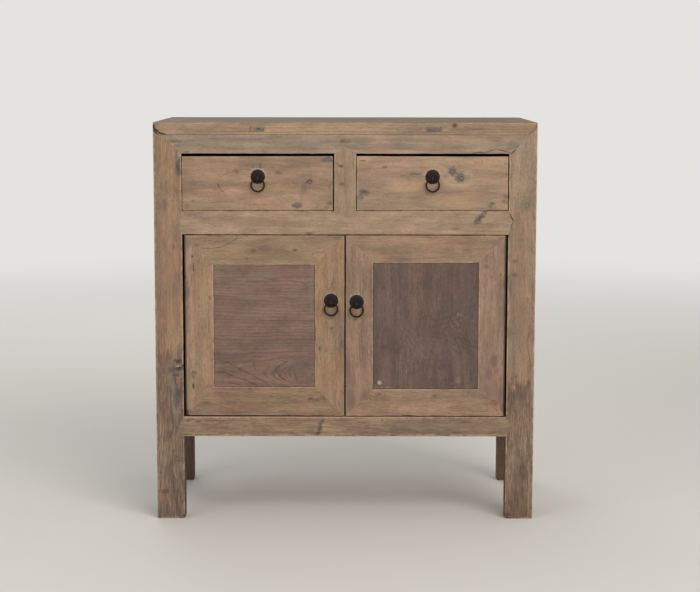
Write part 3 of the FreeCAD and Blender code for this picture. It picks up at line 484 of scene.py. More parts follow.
            (-248, 858, 90, 6.6, "green", 0.2),
        ),
        "cracks": (
            (2.6, 0.62, (-299, 804), (-295, 793)), (2.2, 0.55, (-295, 793), (-285, 784)),
            (1.4, 0.45, (-94, 738), (-84, 737)), (1, 0.5, (-39, 801), (-32, 801)),
            (1, 0.45, (-40, 795), (-32, 795)), (1.3, 0.8, (-92, 806), (-88, 812), (-80, 813)),
            (1.2, 0.8, (-80, 813), (-77, 808)), (1.1, 0.6, (-86, 804), (-79, 805)),
            (1.4, 0.4, (-72, 864), (-68, 860)),
        ),
    },
    "right_drawer_front": {
        "tone": (161, 136, 113), "pith": (-20, 84), "seed": 9, "weathered": 0.24, "wave": 18, "ring": 9,
        "worn": 1.7,
        "knots": (
            (252, 834, 6.8, "slate"), (272, 818, 8, "slate"), (345, 757, 3.4, "grey"),
            (42, 785, 3.1, "grey"),
        ),
        "stains": (
            (252, 834, 11.1, 10.5, "slate", 0.75), (271, 820, 13.5, 12.3, "slate", 0.8),
            (284, 825, 8, 10.5, "pale", 0.35), (287, 820, 6.8, 8, "purple", 0.35),
            (233, 824, 9.2, 2.2, "red", 0.5), (162, 828, 13.5, 2.8, "slate", 0.65),
            (93, 844, 8, 3.4, "brown", 0.45), (44, 785, 14, 8.5, "slate", 0.7),
            (43, 787, 7, 4, "black", 0.65), (36, 772, 9, 9, "slate", 0.6),
            (60, 784, 9.2, 2.5, "slate", 0.3), (346, 759, 9, 3.5, "slate", 0.7),
            (341, 751, 6, 4, "grey", 0.6), (377, 776, 6, 6, "slate", 0.5), (374, 763, 7, 5, "grey", 0.5),
            (368, 807, 4.9, 15.4, "pink", 0.45), (37, 754, 18.5, 12.3, "green", 0.4),
            (40, 859, 8, 1.5, "brown", 0.6), (205, 823, 19, 19, "pale", 0.45),
            (172, 742, 18.5, 2.5, "slate", 0.5), (111, 754, 61.5, 9.2, "gold", 0.22),
            (264, 770, 73.8, 12.3, "gold", 0.2), (376, 852, 3.7, 3.1, "slate", 0.5),
            (378, 826, 3.1, 2.8, "slate", 0.5),
        ),
        "cracks": (
            (1, 0.5, (299, 855), (317, 855)), (1.7, 0.5, (318, 860), (322, 855), (318, 852)),
            (1.1, 0.45, (33, 859), (49, 860)),
        ),
    },
    "left_door_top_rail": {
        "tone": (151, 128, 102), "pith": (0, 74), "seed": 10, "ring": 8, "worn": 2.8,
        "knots": (
            (-119, 648, 4, "dark"), (-208, 654, 2, "grey"), (-231, 628, 2, "grey"),
        ),
        "stains": (
            (-351, 660, 7.2, 4.7, "brown", 0.35), (-233, 629, 6.3, 2.5, "brown", 0.35),
            (-216, 646, 7.3, 4, "brown", 0.55), (-191, 651, 18.2, 6.3, "slate", 0.5),
            (-132, 629, 54.5, 6.6, "green", 0.35), (-16, 677, 14.9, 4, "slate", 0.45),
            (-117, 648, 7.6, 2.6, "brown", 0.35), (-302, 627, 9.5, 6.3, "green", 0.45),
            (-318, 675, 18.9, 6.3, "green", 0.3), (-148, 676, 49.5, 4, "gold", 0.25),
            (-231, 628, 3, 2, "brown", 0.5), (-77, 638, 2, 2, "brown", 0.5),
        ),
        "cracks": ((1.5, 0.5, (-338, 652), (-310, 652), (-288, 656), (-270, 665), (-250, 681)),),
    },
    "left_door_bottom_rail": {
        "fibre": 0.36, "flecks": 0.15, "tone": (145, 119, 96), "pith": (-26, 66), "seed": 11, "worn": 2.8,
        "knots": ((-81, 292, 4.1, "red"),),
        "stains": (
            (-81, 292, 9, 4.1, "purple", 0.7), (-67, 288, 5.9, 2.4, "slate", 0.6),
            (-117, 286, 19, 4.5, "purple", 0.4), (-96, 266, 24.2, 6.9, "orange", 0.3),
            (-198, 290, 41.4, 4.5, "gold", 0.25), (-332, 281, 13.8, 5.9, "purple", 0.5),
            (-267, 260, 38, 2.4, "slate", 0.5), (-321, 306, 10.4, 6.9, "pink", 0.3),
            (-151, 259, 15.5, 2.1, "purple", 0.5), (-240, 272, 17.3, 4.5, "red", 0.3),
            (-227, 316, 4.5, 2.8, "brown", 0.5),
        ),
        "cracks": (
            (0.8, 0.35, (-152, 253), (-93, 254)), (1.2, 0.35, (-60, 302), (-40, 281), (-9, 253)),
            (1, 0.35, (-344, 281), (-321, 284)),
        ),
    },
    "left_door_hinge_stile": {
        **upright, "tone": (154, 127, 104), "pith": (12, 70), "seed": 12, "worn": 3.0,
        "stains": (
            (-371, 664, 6.3, 20.5, "slate", 0.4), (-374, 621, 5.4, 14.2, "pink", 0.75),
            (-361, 633, 2.5, 4.1, "black", 0.6), (-358, 607, 1.9, 9.5, "black", 0.6),
            (-364, 607, 5.4, 9.5, "green", 0.55), (-377, 584, 3.2, 5.4, "purple", 0.7),
            (-370, 589, 2.5, 7.9, "pink", 0.5), (-362, 577, 1.6, 9.5, "brown", 0.5),
            (-373, 552, 5.4, 29.9, "slate", 0.55), (-375, 496, 3.8, 31.5, "slate", 0.35),
            (-320, 535, 3.2, 5.4, "brown", 0.55), (-345, 515, 2.2, 3.8, "brown", 0.5),
            (-318, 627, 1.9, 7.2, "red", 0.45), (-335, 552, 14.2, 47.3, "gold", 0.25),
            (-360, 355, 6.2, 5.9, "purple", 0.5), (-361, 345, 3.8, 4.5, "purple", 0.55),
            (-361, 323, 2.9, 8.6, "black", 0.65), (-366, 316, 2.4, 20.7, "orange", 0.55),
            (-370, 288, 6.9, 15.5, "gold", 0.4), (-323, 323, 10.4, 5.9, "purple", 0.45),
            (-326, 355, 8.6, 27.6, "pink", 0.3), (-375, 334, 3.5, 31.1, "green", 0.35),
            (-371, 261, 6.2, 5.2, "slate", 0.5),
        ),
        "cracks": (
            (1.4, 0.6, (-363, 353), (-361, 358), (-355, 357), (-354, 353)),
            (1.6, 0.5, (-361, 352), (-361, 341)), (1.5, 0.5, (-358, 616), (-357, 599)),
            (1.5, 0.5, (-363, 635), (-360, 630)), (1.6, 0.7, (-375, 263), (-372, 258)),
            (1.3, 0.6, (-370, 267), (-367, 263)),
        ),
    },
    "left_door_meeting_stile": {
        **upright, "tone": (151, 124, 98), "pith": (-20, 64), "seed": 13, "worn": 3.0,
        "stains": (
            (-32, 567, 2.6, 3.3, "slate", 0.75), (-25, 572, 2.6, 2, "slate", 0.5),
            (-51, 553, 7.3, 7.3, "orange", 0.4), (-10, 513, 4.3, 7.3, "pink", 0.5),
            (-8, 487, 1.7, 9.2, "red", 0.5), (-72, 500, 3, 5.6, "red", 0.6),
            (-48, 487, 9.9, 9.9, "gold", 0.5), (-33, 530, 19, 19, "pale", 0.4),
            (-32, 463, 4.3, 3.3, "brown", 0.55), (-60, 413, 2.6, 5.5, "brown", 0.65),
            (-45, 408, 3.8, 3.8, "brown", 0.6), (-32, 401, 3.1, 2.4, "brown", 0.55),
            (-44, 402, 17.3, 10.4, "gold", 0.3), (-67, 379, 2.8, 27.6, "green", 0.35),
            (-9, 423, 4.1, 10.4, "slate", 0.4), (-33, 352, 15.5, 34.5, "gold", 0.25),
            (-63, 579, 5, 33, "gold", 0.3), (-16, 646, 6.6, 16.5, "orange", 0.25),
            (-58, 523, 3.3, 6.6, "purple", 0.35),
        ),
        "cracks": (
            (1.2, 0.5, (-35, 564), (-36, 554)), (1.2, 0.5, (-29, 564), (-28, 554)),
            (1.1, 0.4, (-33, 464), (-32, 449)), (1.2, 0.35, (-16, 507), (-15, 494)),
        ),
    },
    "right_door_top_rail": {
        "tone": (149, 123, 102), "pith": (20, 80), "seed": 14, "ring": 8, "worn": 2.8,
        "knots": ((354, 653, 1.7, "grey"),),
        "stains": (
            (86, 626, 29.9, 4.4, "orange", 0.45), (140, 626, 20.5, 3.2, "purple", 0.4),
            (67, 655, 31.5, 9.5, "green", 0.25), (228, 663, 39.6, 9.9, "pink", 0.25),
            (289, 647, 11.6, 5.6, "purple", 0.4), (237, 640, 19.8, 5, "green", 0.25),
            (369, 678, 9.9, 3, "slate", 0.45), (35, 678, 18.9, 3.2, "slate", 0.3),
            (327, 663, 19.8, 9.9, "gold", 0.2),
        ),
        "cracks": ((0.9, 0.3, (98, 628), (130, 633)), (1.2, 0.35, (318, 633), (328, 625))),
    },
    "right_door_bottom_rail": {
        "fibre": 0.36, "flecks": 0.15, "tone": (155, 128, 104), "pith": (-14, 60), "seed": 15, "worn": 2.8,
        "lines": 0.36,
        "knots": ((214, 299, 2.1, "grey"),),
        "stains": (
            (80, 303, 8.6, 2.6, "brown", 0.5), (121, 293, 24.2, 5.2, "gold", 0.35),
            (186, 271, 10.4, 5.9, "pink", 0.35), (214, 299, 5.9, 2.4, "brown", 0.6),
            (265, 305, 15.5, 2.8, "pink", 0.35), (302, 282, 34.5, 10.4, "gold", 0.2),
            (145, 281, 27.6, 5.2, "orange", 0.2),
        ),
        "cracks": ((1.1, 0.4, (319, 308), (344, 285), (369, 257)),),
    },
    "right_door_meeting_stile": {
        **upright, "tone": (151, 125, 105), "pith": (22, 66), "seed": 16, "worn": 3.0, "lines": 0.45,
        "stains": (
            (58, 617, 3.8, 17.3, "orange", 0.45), (51, 521, 5.4, 31.5, "orange", 0.25),
            (12, 632, 4.1, 31.5, "orange", 0.3), (39, 594, 14.2, 18.9, "green", 0.3),
            (6, 524, 3.8, 15.8, "green", 0.6), (27, 527, 19, 19, "pale", 0.4),
            (26, 484, 1.9, 1.4, "black", 0.7), (9, 370, 6.9, 41.4, "slate", 0.3),
            (23, 405, 10.4, 51.8, "gold", 0.2), (13, 290, 10.4, 27.6, "purple", 0.5),
            (44, 296, 10.4, 15.5, "purple", 0.45), (56, 370, 4.5, 51.8, "pink", 0.3),
            (61, 553, 4.7, 31.5, "purple", 0.3),
        ),
    },
    "right_door_hinge_stile": {
        **upright, "tone": (147, 122, 104), "pith": (-24, 62), "seed": 17, "worn": 3.0,
        "stains": (
            (368, 598, 9.2, 18.2, "gold", 0.55), (367, 590, 2.3, 4.3, "brown", 0.6),
            (338, 593, 13.2, 13.2, "pink", 0.35), (333, 610, 5.6, 5.6, "brown", 0.4),
            (345, 567, 9.9, 13.2, "pink", 0.3), (376, 567, 4, 11.6, "slate", 0.5),
            (375, 653, 3.6, 19.8, "slate", 0.4), (375, 513, 4, 36.3, "slate", 0.4),
            (330, 463, 9.9, 33, "orange", 0.25), (353, 383, 9.7, 17.3, "purple", 0.6),
            (343, 353, 8.6, 15.5, "purple", 0.35), (371, 360, 4.5, 19, "pink", 0.55),
            (366, 328, 7.6, 12.1, "orange", 0.5), (372, 296, 9, 26, "purple", 0.5),
            (359, 342, 4.5, 7.6, "gold", 0.6), (326, 360, 5.9, 8.6, "gold", 0.4),
            (355, 282, 10.4, 8.6, "red", 0.7), (350, 330, 26, 60, "purple", 0.16),
            (376, 269, 5.9, 13.8, "purple", 0.7), (336, 317, 10.4, 10.4, "purple", 0.25),
        ),
        "cracks": (
            (1.5, 0.5, (363, 367), (362, 356)), (1.2, 0.4, (374, 388), (373, 370)),
            (1.3, 0.4, (357, 363), (356, 353)), (1.2, 0.45, (334, 625), (336, 621)),
            (1.4, 0.4, (326, 628), (330, 626)), (1.4, 0.5, (369, 257), (373, 252)),
        ),
    },
    "left_door_panel": {
        "tone": (128, 104, 92), "deep": (0.68, 0.64, 0.66), "pale": (1.12, 1.1, 1.08), "pith": (-115, 26),
        "seed": 18, "ring": 7.5, "wave": 14, "lines": 0.52, "fibre": 0.28, "weathered": 0.35,
        "mottle": 0.11, "greyTone": (116, 99, 91), "worn": 0.5, "swirls": ((-106, 352, 12, -2.2),),
        "knots": ((-95, 568, 2, "dark"),),
        "stains": (
            (-199, 586, 42.9, 9.9, "green", 0.4), (-117, 558, 19.8, 8.3, "green", 0.35),
            (-227, 537, 19.8, 7.3, "green", 0.35), (-132, 596, 49.5, 9.9, "red", 0.2),
            (-81, 546, 5, 66, "green", 0.4), (-301, 592, 7.9, 25.2, "green", 0.35),
            (-169, 579, 16.5, 3.6, "brown", 0.35), (-289, 395, 34.5, 4.5, "purple", 0.5),
            (-149, 356, 10.4, 10.4, "red", 0.3), (-197, 373, 20.7, 13.8, "red", 0.3),
            (-92, 373, 8.6, 8.6, "slate", 0.4), (-239, 422, 34.5, 3.5, "red", 0.3),
            (-162, 366, 10.4, 10.4, "slate", 0.35), (-149, 324, 12.1, 3.1, "brown", 0.4),
        ),
        "cracks": (
            (2.6, 0.46, (-135, 383), (-152, 375), (-166, 363), (-159, 352), (-152, 343), (-138, 334)),
            (2.2, 0.46, (-216, 380), (-217, 370), (-212, 362)),
            (2.2, 0.49, (-284, 382), (-266, 373), (-242, 359), (-226, 352)),
            (2.2, 0.43, (-227, 352), (-206, 341), (-177, 325)),
            (2.4, 0.52, (-307, 356), (-284, 355), (-263, 345), (-226, 333)),
            (2.4, 0.52, (-231, 335), (-209, 324)), (2.4, 0.43, (-281, 332), (-246, 324)),
            (2.2, 0.41, (-129, 370), (-132, 356), (-129, 343)),
            (2.2, 0.41, (-119, 363), (-121, 354), (-115, 341), (-112, 331)),
            (2, 0.36, (-194, 581), (-155, 575)),
        ),
    },
    "right_door_panel": {
        "grain": "z", "tone": (104, 87, 79), "deep": (0.76, 0.75, 0.75), "pith": (40, 120), "seed": 19,
        "ring": 11, "wave": 20, "lines": 0.36, "fibre": 0.34, "weathered": 0.4, "greyTone": (102, 86, 80),
        "mottle": 0.12, "worn": 0.5,
        "swirls": ((258, 452, 13, 2.2), (196, 408, 9, -1.8), (128, 440, 8, 1.6)),
        "stains": (
            (82, 331, 5.2, 5.2, "pale", 0.7), (70, 320, 12.1, 6.9, "green", 0.35),
            (86, 389, 3.8, 19, "red", 0.2), (284, 398, 3.1, 7.6, "red", 0.3),
            (299, 439, 4.5, 10.4, "slate", 0.55), (303, 409, 3.8, 10.4, "slate", 0.5),
            (81, 602, 9.5, 7.9, "slate", 0.5), (77, 513, 6.3, 25.2, "slate", 0.4),
            (82, 476, 6.3, 17.3, "slate", 0.35), (170, 598, 31.5, 25.2, "red", 0.15),
            (186, 521, 31.5, 41, "gold", 0.08), (307, 513, 9.9, 33, "slate", 0.25),
            (262, 563, 26.4, 33, "red", 0.12), (224, 423, 10.4, 20.7, "gold", 0.08),
            (270, 337, 6.9, 10.4, "pink", 0.25), (231, 352, 13.8, 13.8, "pink", 0.15),
            (91, 558, 5.4, 3.2, "brown", 0.4), (70, 352, 5.2, 34.5, "slate", 0.3),
        ),
        "cracks": (
            (1.6, 0.22, (118, 594), (99, 572), (91, 558)), (1.4, 0.2, (140, 593), (122, 572)),
            (1.5, 0.3, (278, 446), (286, 439), (287, 430)),
        ),
        "scratches": (
            (86, 317, 91, 322, 1.3), (97, 317, 105, 324, 1.4), (109, 317, 112, 321, 1.2),
            (146, 381, 152, 388, 0.9), (148, 362, 143, 352, 0.9), (132, 381, 130, 375, 0.8),
            (246, 476, 263, 456, 0.7), (255, 486, 271, 466, 0.7), (266, 498, 267, 489, 0.9),
            (270, 499, 273, 491, 0.7), (255, 327, 259, 330, 1.1), (264, 317, 265, 322, 1.1),
        ),
    },
}

# Boards that the front doesn't show, told apart by their grain and their seed
hiddenLooks = {
    # The back legs' feet are darkened with painted shade, in place of the shadow under the case
    "back_left_leg": {"grain": "z", "tone": (128, 106, 89), "seed": 20, "footShade": (215, (0.42, 0.38, 0.36))},
    "back_right_leg": {"grain": "z", "tone": (132, 110, 92), "seed": 21, "pith": (20, 64),
                       "footShade": (215, (0.42, 0.38, 0.36))},
    "top_back_rail": {"tone": (138, 116, 97), "seed": 22},
    "left_top_rail": {"grain": "y", "tone": (146, 121, 99), "seed": 23},
    "right_top_rail": {"grain": "y", "tone": (148, 124, 103), "seed": 24},
    "top_frame_back": {"dusty": topDust, "tone": (148, 125, 104), "seed": 25},
    "top_frame_left": {"dusty": topDust, "grain": "y", "tone": (152, 128, 105), "seed": 26, "worn": 3.0},
    "top_frame_right": {"dusty": topDust, "grain": "y", "tone": (154, 130, 108), "seed": 27, "worn": 3.0},
    "top_panel": {"dusty": topDust, "tone": (136, 112, 95), "seed": 28, "ring": 9, "wave": 20,
                  "pith": (30, 90), "lines": 0.5, "seams": ("y", (-62, 71), 1.0)},
    "middle_back_rail": {"tone": (136, 113, 94), "seed": 29},
    "bottom_back_rail": {"tone": (130, 107, 90), "seed": 30},
    "left_bottom_rail": {"grain": "y", "tone": (138, 113, 94), "seed": 31},
    "right_bottom_rail": {"grain": "y", "tone": (140, 116, 96), "seed": 32},
    "left_side_panel": {"grain": "z", "tone": (132, 109, 92), "seed": 33, "ring": 9, "wave": 20,
                        "pith": (30, 90), "seams": ("y", (-50, 78), 1.0)},
    "right_side_panel": {"grain": "z", "tone": (134, 111, 95), "seed": 34, "ring": 9, "wave": 22,
                         "pith": (-30, 90), "seams": ("y", (-72, 60), 1.0)},
    "upper_back_panel": {"tone": (126, 106, 91), "seed": 35, "ring": 9, "wave": 18, "pith": (10, 80)},
    "lower_back_panel": {"tone": (124, 104, 89), "seed": 36, "ring": 10, "wave": 22, "pith": (60, 90),
                         "seams": ("z", (388, 545), 1.0)},
    "top_battens": {"grain": "y", "tone": (120, 104, 96), "seed": 37,
                    "stains": ((-203, 933, 6, 3, "black", 0.6), (-217, 931, 5, 4, "pink", 0.5),
                               (-196, 930, 5, 4, "slate", 0.4), (196, 931, 5, 3, "black", 0.5),
                               (212, 933, 7, 3, "grey", 0.6), (204, 931, 5, 4, "slate", 0.5))},
    "centre_kicker": {"grain": "y", "tone": (126, 108, 92), "seed": 38,
                      "stains": ((-5, 905, 5, 2.5, "slate", 0.6), (6, 903, 4, 2, "purple", 0.4))},
    "side_runners": {"grain": "y", "tone": (146, 122, 98), "seed": 39},
    "centre_runner": {"grain": "y", "tone": (144, 120, 97), "seed": 40},
    "floor_boards": {"tone": (142, 118, 95), "seed": 41, "ring": 9, "pith": (30, 80)},
    "door_stops": {"tone": (140, 116, 95), "seed": 42},
}

drawerLooks = {
    "sides": {"grain": "y", "tone": (154, 130, 104), "ring": 8, "pith": (20, 70)},
    "back": {"tone": (150, 126, 101), "ring": 8},
    "bottom": {"grain": "y", "tone": (146, 123, 99), "ring": 10, "pith": (40, 80)},
}


# A board's look: its own settings over the plain ones; a drawer's boards take theirs by their part
def lookOf(node):
    own = frontLooks.get(node) or hiddenLooks.get(node)
    if own is None:
        side, part = node.split("_")[0], node.split("_")[-1]
        own = dict(drawerLooks[part], seed=50 + 3 * (side == "right") + list(drawerLooks).index(part))
    return dict(plainLook, **own)


# The front's boards get painted shade on their edge faces in the gaps between them, apart from these
gapUnshaded = ("top_frame_front", "top_front_rail", "left_door_panel", "right_door_panel")
gapShaded = [node for node in frontLooks if node not in gapUnshaded]

# What the wood of all boards shares; lengths are millimetres
woodSettings = {
    "frayed": 13.0,                 # how far the border of a broad stain wanders
    "gentle": 4.0,                  # the same for small stains and cracks
    "broadStain": 9,                # reach of a stain from which it counts as broad
    "stainDeep": 24.0,
    "flushOut": 30,                 # keeps wear off an edge that is a joint
    "wornTone": 1.34,
    "gapShade": 0.36,                  # share of the colour that the painted shade leaves in the gaps between boards
    "gapShadeFrom": (0.4, 2.0),        # depth behind the face at which the painted shade starts and is full
    "dustFrom": (946.4, 947.3),     # height at which dust starts and is full
    "crackTone": (50, 38, 31),
    "crackDeep": 9.0,
    "relief": {"fibres": 0.22, "rings": 0.14, "pores": -0.16, "patches": -0.12, "cracks": -1.1},
    "bump": 0.6,
    "roughness": 0.66,
    "specular": 0.3,
    "dustSpecular": 0.12,
}


# The board's wood, built from its look
def woodMaterial(node, look):
    low, high = (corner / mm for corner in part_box(node))
    middle, half = (low + high) / 2, (high - low) / 2
    material, w, surface = newMaterial(node + " wood")
    spot = spotOn(w)
    x, y, z = w.split(spot)

    # The grain runs along one axis, and the board's face lies across the thinner of the other two
    places = {"x": x, "y": y, "z": z}
    across = {"x": "zy", "y": "zx", "z": "xy"}[look["grain"]]
    face, inward = sorted(across, key=lambda axis: -getattr(half, axis))
    along = w.join(places[look["grain"]], places[face], places[inward])
    pith = Vector((0, getattr(middle, face), getattr(middle, inward))) + Vector((0, *look["pith"]))

    ragged = w.vector("SUBTRACT", w.noise(spot, (11, 11, 11), 4, 0.65, out=1), (0.5, 0.5, 0.5))
    frayed = w.vector("ADD", spot, w.scale(ragged, woodSettings["frayed"]))
    gentle = w.vector("ADD", spot, w.scale(ragged, woodSettings["gentle"]))
    stretch = {"x": (0.75, 0.3, 1), "z": (1, 0.3, 0.75), "y": (1, 0.75, 1)}[look["grain"]]
    front = low.y
    push = 0.0
    knots = []
    for kx, kz, size, kind in look["knots"]:
        knot = w.group(groups["knot"], Vector=w.vector("ADD", spot, w.scale(ragged, size * 1.3)),
                       Centre=(kx, front, kz), Size=float(size), Long=stretch)
        knots.append((knot, knotColours[kind]))
        push = w.maths("ADD", push, knot["Push"])
    for kx, kz, size, strength in look["swirls"]:
        knot = w.group(groups["knot"], Vector=gentle, Centre=(kx, front, kz), Size=size, Long=(0.5, 0.3, 1))
        push = w.maths("MULTIPLY_ADD", knot["Push"], strength, push)

    seed = float(look["seed"])
    grain = w.group(groups["grain"], Vector=along, Pith=pith, Seed=seed, Ring=float(look["ring"]),
                    Wave=float(look["wave"]), Push=push)
    weather = w.group(groups["weather"], Vector=along, Seed=seed)

    # Ground colour: the tone, a lower stretch, rings, streaks, grey patches and fibres
    tone = look["tone"]
    cooler = [tone[0] * 0.95, tone[1] * 0.94, tone[2] * 0.96]
    warmer = [tone[0] * 1.05, tone[1] * 1.04, tone[2] * 1.02]
    colour = w.mix(w.ramp(grain["Tone"], 0.32, 0.66), linear(cooler), linear(warmer))
    # A darker, streakier lower stretch of a leg: partly real weathering, partly painted shade for the light
    # that falls off towards the floor
    if look["below"]:
        height, soft, lowerTone = look["below"]
        lowered = w.maths("MULTIPLY_ADD", grain["Streaks"], 90.0, w.maths("SUBTRACT", z, 45.0))
        lower = w.mix(w.ramp(grain["Tone"], 0.35, 0.65), linear(lowerTone, 0.92), linear(lowerTone, 1.07))
        under = w.ramp(lowered, height + soft, height - soft)
        colour = w.mix(under, colour, lower)
    pinker = w.vector("MULTIPLY", colour, (1.01, 0.96, 0.98))
    greener = w.vector("MULTIPLY", colour, (0.96, 0.985, 0.95))
    colour = w.mix(w.ramp(weather["Blotches"], 0.46, 0.62), colour, pinker)
    colour = w.mix(w.ramp(weather["Blotches"], 0.52, 0.36), colour, greener)
    deep = [t * s for t, s in zip(tone, look["deep"])]
    pale = [t * s for t, s in zip(tone, look["pale"])]
    colour = w.mix(w.ramp(grain["Streaks"], 0.42, 0.75, 0.0, 0.35), colour, linear(pale))
    colour = w.mix(w.ramp(grain["Streaks"], 0.5, 0.25, 0.0, 0.26), colour, linear(deep))
    colour = w.mix(w.maths("MULTIPLY", grain["Rings"], look["lines"]), colour, linear(deep))
    grey = w.maths("MULTIPLY", weather["Patches"], look["weathered"])
    colour = w.mix(grey, colour, linear(look["greyTone"]))
    fibres = w.ramp(grain["Fibres"], 0.25, 0.75, 1 - look["fibre"] / 2, 1 + look["fibre"] / 2)
    colour = w.scale(colour, fibres)
    colour = w.scale(colour, w.ramp(weather["Shade"], 0.3, 0.7, 1 - look["shade"], 1 + look["shade"]))
    if look["below"] or look["streaky"]:
        under = under if look["below"] else look["streaky"]
        rough = w.noise(along, (30, 3.6, 3.6), 4, 0.62)
        darkest = w.maths("MULTIPLY_ADD", under, -0.34, 1.0)
        palest = w.maths("MULTIPLY_ADD", under, 0.36, 1.0)
        colour = w.scale(colour, w.ramp(rough, 0.3, 0.7, darkest, palest))
    for speckle in ("flecks", "mottle"):
        share = look[speckle]
        colour = w.scale(colour, w.ramp(grain[speckle.capitalize()], 0.25, 0.75, 1 - share, 1 + share))
    colour = w.mix(w.maths("MULTIPLY", grain["Pores"], 0.4), colour, linear(deep, 0.7))
    colour = w.mix(w.maths("MULTIPLY", weather["Specks"], 0.25), colour, linear(deep, 0.75))

    # Stains and knots
    frayedGrain = w.maths("MULTIPLY_ADD", grain["Fibres"], 0.9, w.maths("MULTIPLY", grain["Flecks"], 1.6))
    for sx, sz, wide, tall, kind, strength in look["stains"]:
        warped = frayed if max(wide, tall) > woodSettings["broadStain"] else gentle
        stain = w.group(groups["patch"], Vector=warped, Centre=(sx, front, sz),
                        Reach=(wide, woodSettings["stainDeep"], tall), Soft=0.6)
        most = min(strength * 1.25, 1.0)
        edged = w.ramp(w.maths("ADD", frayedGrain, stain["Mask"]), 1.5, 2.25)
        streaked = w.maths("MULTIPLY", edged, w.ramp(grain["Mottle"], 0.38, 0.54, strength * 0.7, most))
        colour = w.mix(streaked, colour, linear(stainColours[kind]))
    for knot, kindColour in knots:
        colour = w.mix(w.maths("MULTIPLY", knot["Rim"], 0.2), colour, linear(tone, 0.78))
        whorl = w.mix(knot["Whorl"], linear(kindColour, 0.82), linear(kindColour, 1.22))
        colour = w.mix(w.maths("MULTIPLY", knot["Heart"], 0.62), colour, whorl)

    # Worn edges, painted shade in the gaps, dust on the top and painted shade over the feet
    wornLow, wornHigh = low.copy(), high.copy()
    for axis, end in flushSides.get(node, ()):
        (wornLow, wornHigh)[end][axis] += woodSettings["flushOut"] * (1 if end else -1)
    wear = w.group(groups["wear"], Vector=spot, Centre=(wornLow + wornHigh) / 2,
                   Half=(wornHigh - wornLow) / 2, Width=float(look["worn"]))["Mask"]
    colour = w.mix(w.maths("MULTIPLY", wear, 0.7), colour, linear(tone, woodSettings["wornTone"]))
    # Painted shade: the edge faces that lie in the gaps between the front's boards are darkened
    if node in gapShaded:
        depth = w.maths("SUBTRACT", y, low.y)
        thick = high.y - low.y
        behind = w.ramp(depth, thick - 0.2, thick - 1.6)
        side = w.maths("MULTIPLY", w.ramp(depth, *woodSettings["gapShadeFrom"]), behind)
        if node.endswith("leg"):
            side = w.maths("MULTIPLY", side, w.ramp(w.maths("ABSOLUTE", x), 449.0, 447.0))
            side = w.maths("MULTIPLY", side, w.ramp(z, 8.0, 60.0, 0.5, 1.0))
        colour = w.scale(colour, w.ramp(side, 0.0, 1.0, 1.0, woodSettings["gapShade"]))
    if look["dusty"]:
        dust = w.ramp(z, *woodSettings["dustFrom"], 0.0, w.ramp(weather["Blotches"], 0.35, 0.65, 0.66, 0.9))
        dulled = w.maths("MULTIPLY", w.ramp(grain["Tone"], 0.35, 0.65, 0.88, 1.1), fibres)
        colour = w.mix(dust, colour, w.scale(linear(look["dusty"])[:3], dulled))
    # Painted shade that darkens a leg's foot towards the floor
    if look["footShade"]:
        height, footShadeTint = look["footShade"]
        rising = w.ramp(w.maths("MULTIPLY_ADD", grain["Streaks"], 50.0, z), height + 40, height, 0.0, 0.8)
        colour = w.mix(rising, colour, w.vector("MULTIPLY", colour, footShadeTint))

    # Scratches, cracks and seams
    scratched = 0.0
    for x1, z1, x2, z2, width in look["scratches"]:
        mark = w.group(groups["crack"], Vector=frayed, From=(x1, 0, z1), To=(x2, 0, z2), Width=width)
        scratched = w.maths("MAXIMUM", scratched, mark["Mask"])
    if look["scratches"]:
        colour = w.mix(w.maths("MULTIPLY", scratched, 0.42), colour, linear(stainColours["pale"]))
    split = 0.0
    for width, strength, *line in look["cracks"]:
        for (x1, z1), (x2, z2) in zip(line, line[1:]):
            mark = w.group(groups["crack"], Vector=gentle, From=(x1, 0, z1), To=(x2, 0, z2), Width=width)
            split = w.maths("MAXIMUM", split, w.maths("MULTIPLY", mark["Mask"], strength))
    crackDeep = woodSettings["crackDeep"]
    split = w.maths("MULTIPLY", split, w.ramp(w.maths("SUBTRACT", y, front), crackDeep, crackDeep / 3))
    if look["seams"]:
        side, seams, strength = look["seams"]
        for seam in seams:
            gap = w.maths("ABSOLUTE", w.maths("SUBTRACT", places[side], seam))
            split = w.maths("MAXIMUM", split, w.ramp(gap, 0.9, 0.2, 0.0, strength))
    colour = w.mix(w.maths("MULTIPLY", split, 0.95), colour, linear(woodSettings["crackTone"]))

    relief = woodSettings["relief"]
    height = w.maths("MULTIPLY", grain["Fibres"], relief["fibres"])
    height = w.maths("MULTIPLY_ADD", grain["Rings"], relief["rings"], height)
    height = w.maths("MULTIPLY_ADD", grain["Pores"], relief["pores"], height)
    height = w.maths("MULTIPLY_ADD", weather["Patches"], relief["patches"], height)
    height = w.maths("MULTIPLY_ADD", split, relief["cracks"], height)
    bump = w.place("ShaderNodeBump", {"Strength": woodSettings["bump"], "Distance": mm, "Height": height})
    roughness = w.maths("MULTIPLY_ADD", grain["Fibres"], 0.16, woodSettings["roughness"])
    roughness = w.maths("MULTIPLY_ADD", wear, -0.14, roughness)
    w.link(colour, surface.inputs["Base Color"])
    w.link(roughness, surface.inputs["Roughness"])
    w.link(bump.outputs[0], surface.inputs["Normal"])
    gloss = woodSettings["dustSpecular" if look["dusty"] else "specular"]
    surface.inputs["Specular IOR Level"].default_value = gloss
    return material


